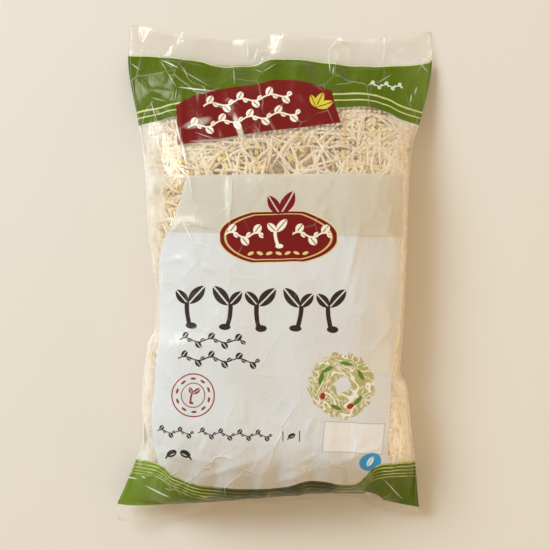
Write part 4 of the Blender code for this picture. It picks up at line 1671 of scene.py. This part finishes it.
def filling_core():
    """The depth of the filling, painted with the shade it lies in: darker strands of stem seen between the
    ones in front.
    """
    paint = Paint("packed_sprouts")
    place = paint.millimetres()
    wind = paint.grain(paint.vector_maths("MULTIPLY", place, (1, 1, 0.6)), 0.22, 3, 0.5, 1.6)
    colour = paint.node(
        "ShaderNodeValToRGB",
        {
            "stops": [
                (0.3, tint(136, 100, 52)),
                (0.45, tint(180, 144, 90)),
                (0.6, tint(216, 184, 132)),
                (0.8, tint(234, 208, 160)),
            ]
        },
        {0: wind},
    )
    bump = paint.node("ShaderNodeBump", None, {"Strength": 0.8, "Distance": 0.0016, "Height": wind})
    shader = paint.node(
        "ShaderNodeBsdfPrincipled", None, {"Base Color": colour, "Roughness": 0.5, "Normal": bump}
    )
    paint.node("ShaderNodeOutputMaterial", None, {"Surface": shader})
    return paint.material


def floor_paint(settings):
    """A smooth warm floor with the faintest grain."""
    paint = Paint("studio_floor")
    grain = paint.grain(paint.millimetres(), 0.004, 2)
    low = tuple(each * 0.985 for each in settings.floor)
    shader = paint.node(
        "ShaderNodeBsdfPrincipled",
        None,
        {
            "Base Color": paint.blend((*low, 1), (*settings.floor, 1), grain),
            "Roughness": 0.75 + grain * 0.08,
            "Specular IOR Level": 0.2,
        },
    )
    paint.node("ShaderNodeOutputMaterial", None, {"Surface": shader})
    return paint.material


class SPROUTBAG_OT_sprouts(Operator):
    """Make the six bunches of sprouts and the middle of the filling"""

    bl_idname = "sproutbag.sprouts"
    bl_label = "Sprouts"

    def execute(self, context):
        settings = context.scene.sproutbag_sprouts
        skin = Skin()
        stem, bean = as_arrays(stem_template()), as_arrays(bean_template())
        flesh = sprout_flesh()
        core = take("packed_sprouts", core_mesh(skin), filling_core())
        for n, (band_name, band) in enumerate(BUNCH_BANDS.items()):
            for m, side in enumerate(BUNCH_SIDES):
                node = f"sprouts_{band_name}_{side}"
                seed = settings.seed + 2 * n + m
                made = bunch_mesh(node, skin, settings, stem, bean, band, side, seed)
                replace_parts(take(f"loose_{node}", made, flesh), node)
        if not core.data.polygons:
            raise RuntimeError("the filling has no faces")
        return {"FINISHED"}


class SPROUTBAG_OT_film(Operator):
    """Make the printed film that is drawn round the filling"""

    bl_idname = "sproutbag.film"
    bl_label = "Film"

    def execute(self, context):
        settings = context.scene.sproutbag_film
        film = film_mesh(settings)
        sides = np.empty(len(film.data.polygons), np.int32)
        film.data.polygons.foreach_get("material_index", sides)
        prints = (("upper_film", upper_print), ("panel_film", panel_print), ("back_film", back_print))
        paints = [printed_film(name, lay_print, settings) for name, lay_print in prints]
        take("printed_bag_film", film, paints)
        film.data.polygons.foreach_set("material_index", sides)
        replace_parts(film, "film_bag")
        return {"FINISHED"}


class SPROUTBAG_OT_seam(Operator):
    """Make the folded seam underneath"""

    bl_idname = "sproutbag.seam"
    bl_label = "Back seam"

    def execute(self, context):
        take("back_seam", seam_mesh(), seam_film())
        return {"FINISHED"}


class SPROUTBAG_OT_stage(Operator):
    """Make the floor, the lamps and the camera"""

    bl_idname = "sproutbag.stage"
    bl_label = "Floor, lamps and camera"

    def execute(self, context):
        settings = context.scene.sproutbag_stage
        deselect_all()
        bpy.ops.mesh.primitive_plane_add(size=6, location=(0, 0, -0.0002))
        bpy.ops.object.transform_apply(location=True, rotation=True, scale=True)
        floor = context.object
        floor.name = floor.data.name = "studio_floor"
        floor.data.materials.append(floor_paint(settings))
        for name, place, size, power, colour, shadows, matt, gloss in LAMPS:
            bpy.ops.object.light_add(type="AREA", location=place)
            lamp = context.object
            lamp.name = name
            lamp.data.shape = "RECTANGLE"
            lamp.data.size, lamp.data.size_y = size
            lamp.data.energy = power
            lamp.data.color = colour
            lamp.data.use_shadow = shadows
            lamp.visible_diffuse, lamp.visible_glossy = matt, gloss
            lamp.rotation_euler = (-Vector(place)).to_track_quat("-Z", "Y").to_euler()
        world = context.scene.world or bpy.data.worlds.new("studio")
        context.scene.world = world
        world.use_nodes = True
        world.node_tree.nodes["Background"].inputs["Color"].default_value = (*SKY, 1)
        world.node_tree.nodes["Background"].inputs["Strength"].default_value = SKY_STRENGTH
        context.scene.view_settings.view_transform = "Standard"
        bpy.ops.object.camera_add(location=(0.00006, -0.0029, settings.height))
        camera = context.object
        camera.rotation_euler = (0, 0, math.radians(1.2))
        camera.data.sensor_width = 36
        camera.data.lens = 36 * (settings.height - 0.034) / settings.view_width
        context.scene.camera = camera
        return {"FINISHED"}


class SPROUTBAG_PT_panel(Panel):
    """Lists the steps that make the bag"""

    bl_label = "Sprout Bag"
    bl_space_type = "VIEW_3D"
    bl_region_type = "UI"
    bl_category = "Sprout Bag"

    def draw(self, context):
        scene = context.scene
        for operator, settings in STEPS:
            self.layout.operator(operator.bl_idname)
            if settings:
                for name in type(getattr(scene, settings)).__annotations__:
                    self.layout.prop(getattr(scene, settings), name)


STEPS = (
    (SPROUTBAG_OT_sprouts, "sproutbag_sprouts"),
    (SPROUTBAG_OT_film, "sproutbag_film"),
    (SPROUTBAG_OT_seam, None),
    (SPROUTBAG_OT_stage, "sproutbag_stage"),
)
CLASSES = (
    FilmSettings,
    SproutSettings,
    StageSettings,
    SPROUTBAG_OT_sprouts,
    SPROUTBAG_OT_film,
    SPROUTBAG_OT_seam,
    SPROUTBAG_OT_stage,
    SPROUTBAG_PT_panel,
)


def register():
    for each in CLASSES:
        bpy.utils.register_class(each)
    bpy.types.Scene.sproutbag_film = PointerProperty(type=FilmSettings)
    bpy.types.Scene.sproutbag_sprouts = PointerProperty(type=SproutSettings)
    bpy.types.Scene.sproutbag_stage = PointerProperty(type=StageSettings)


def unregister():
    del bpy.types.Scene.sproutbag_stage
    del bpy.types.Scene.sproutbag_sprouts
    del bpy.types.Scene.sproutbag_film
    for each in reversed(CLASSES):
        bpy.utils.unregister_class(each)


def main():
    register()
    bpy.ops.sproutbag.sprouts()
    bpy.ops.sproutbag.film()
    bpy.ops.sproutbag.seam()
    bpy.ops.sproutbag.stage()


if __name__ == "__main__":
    main()
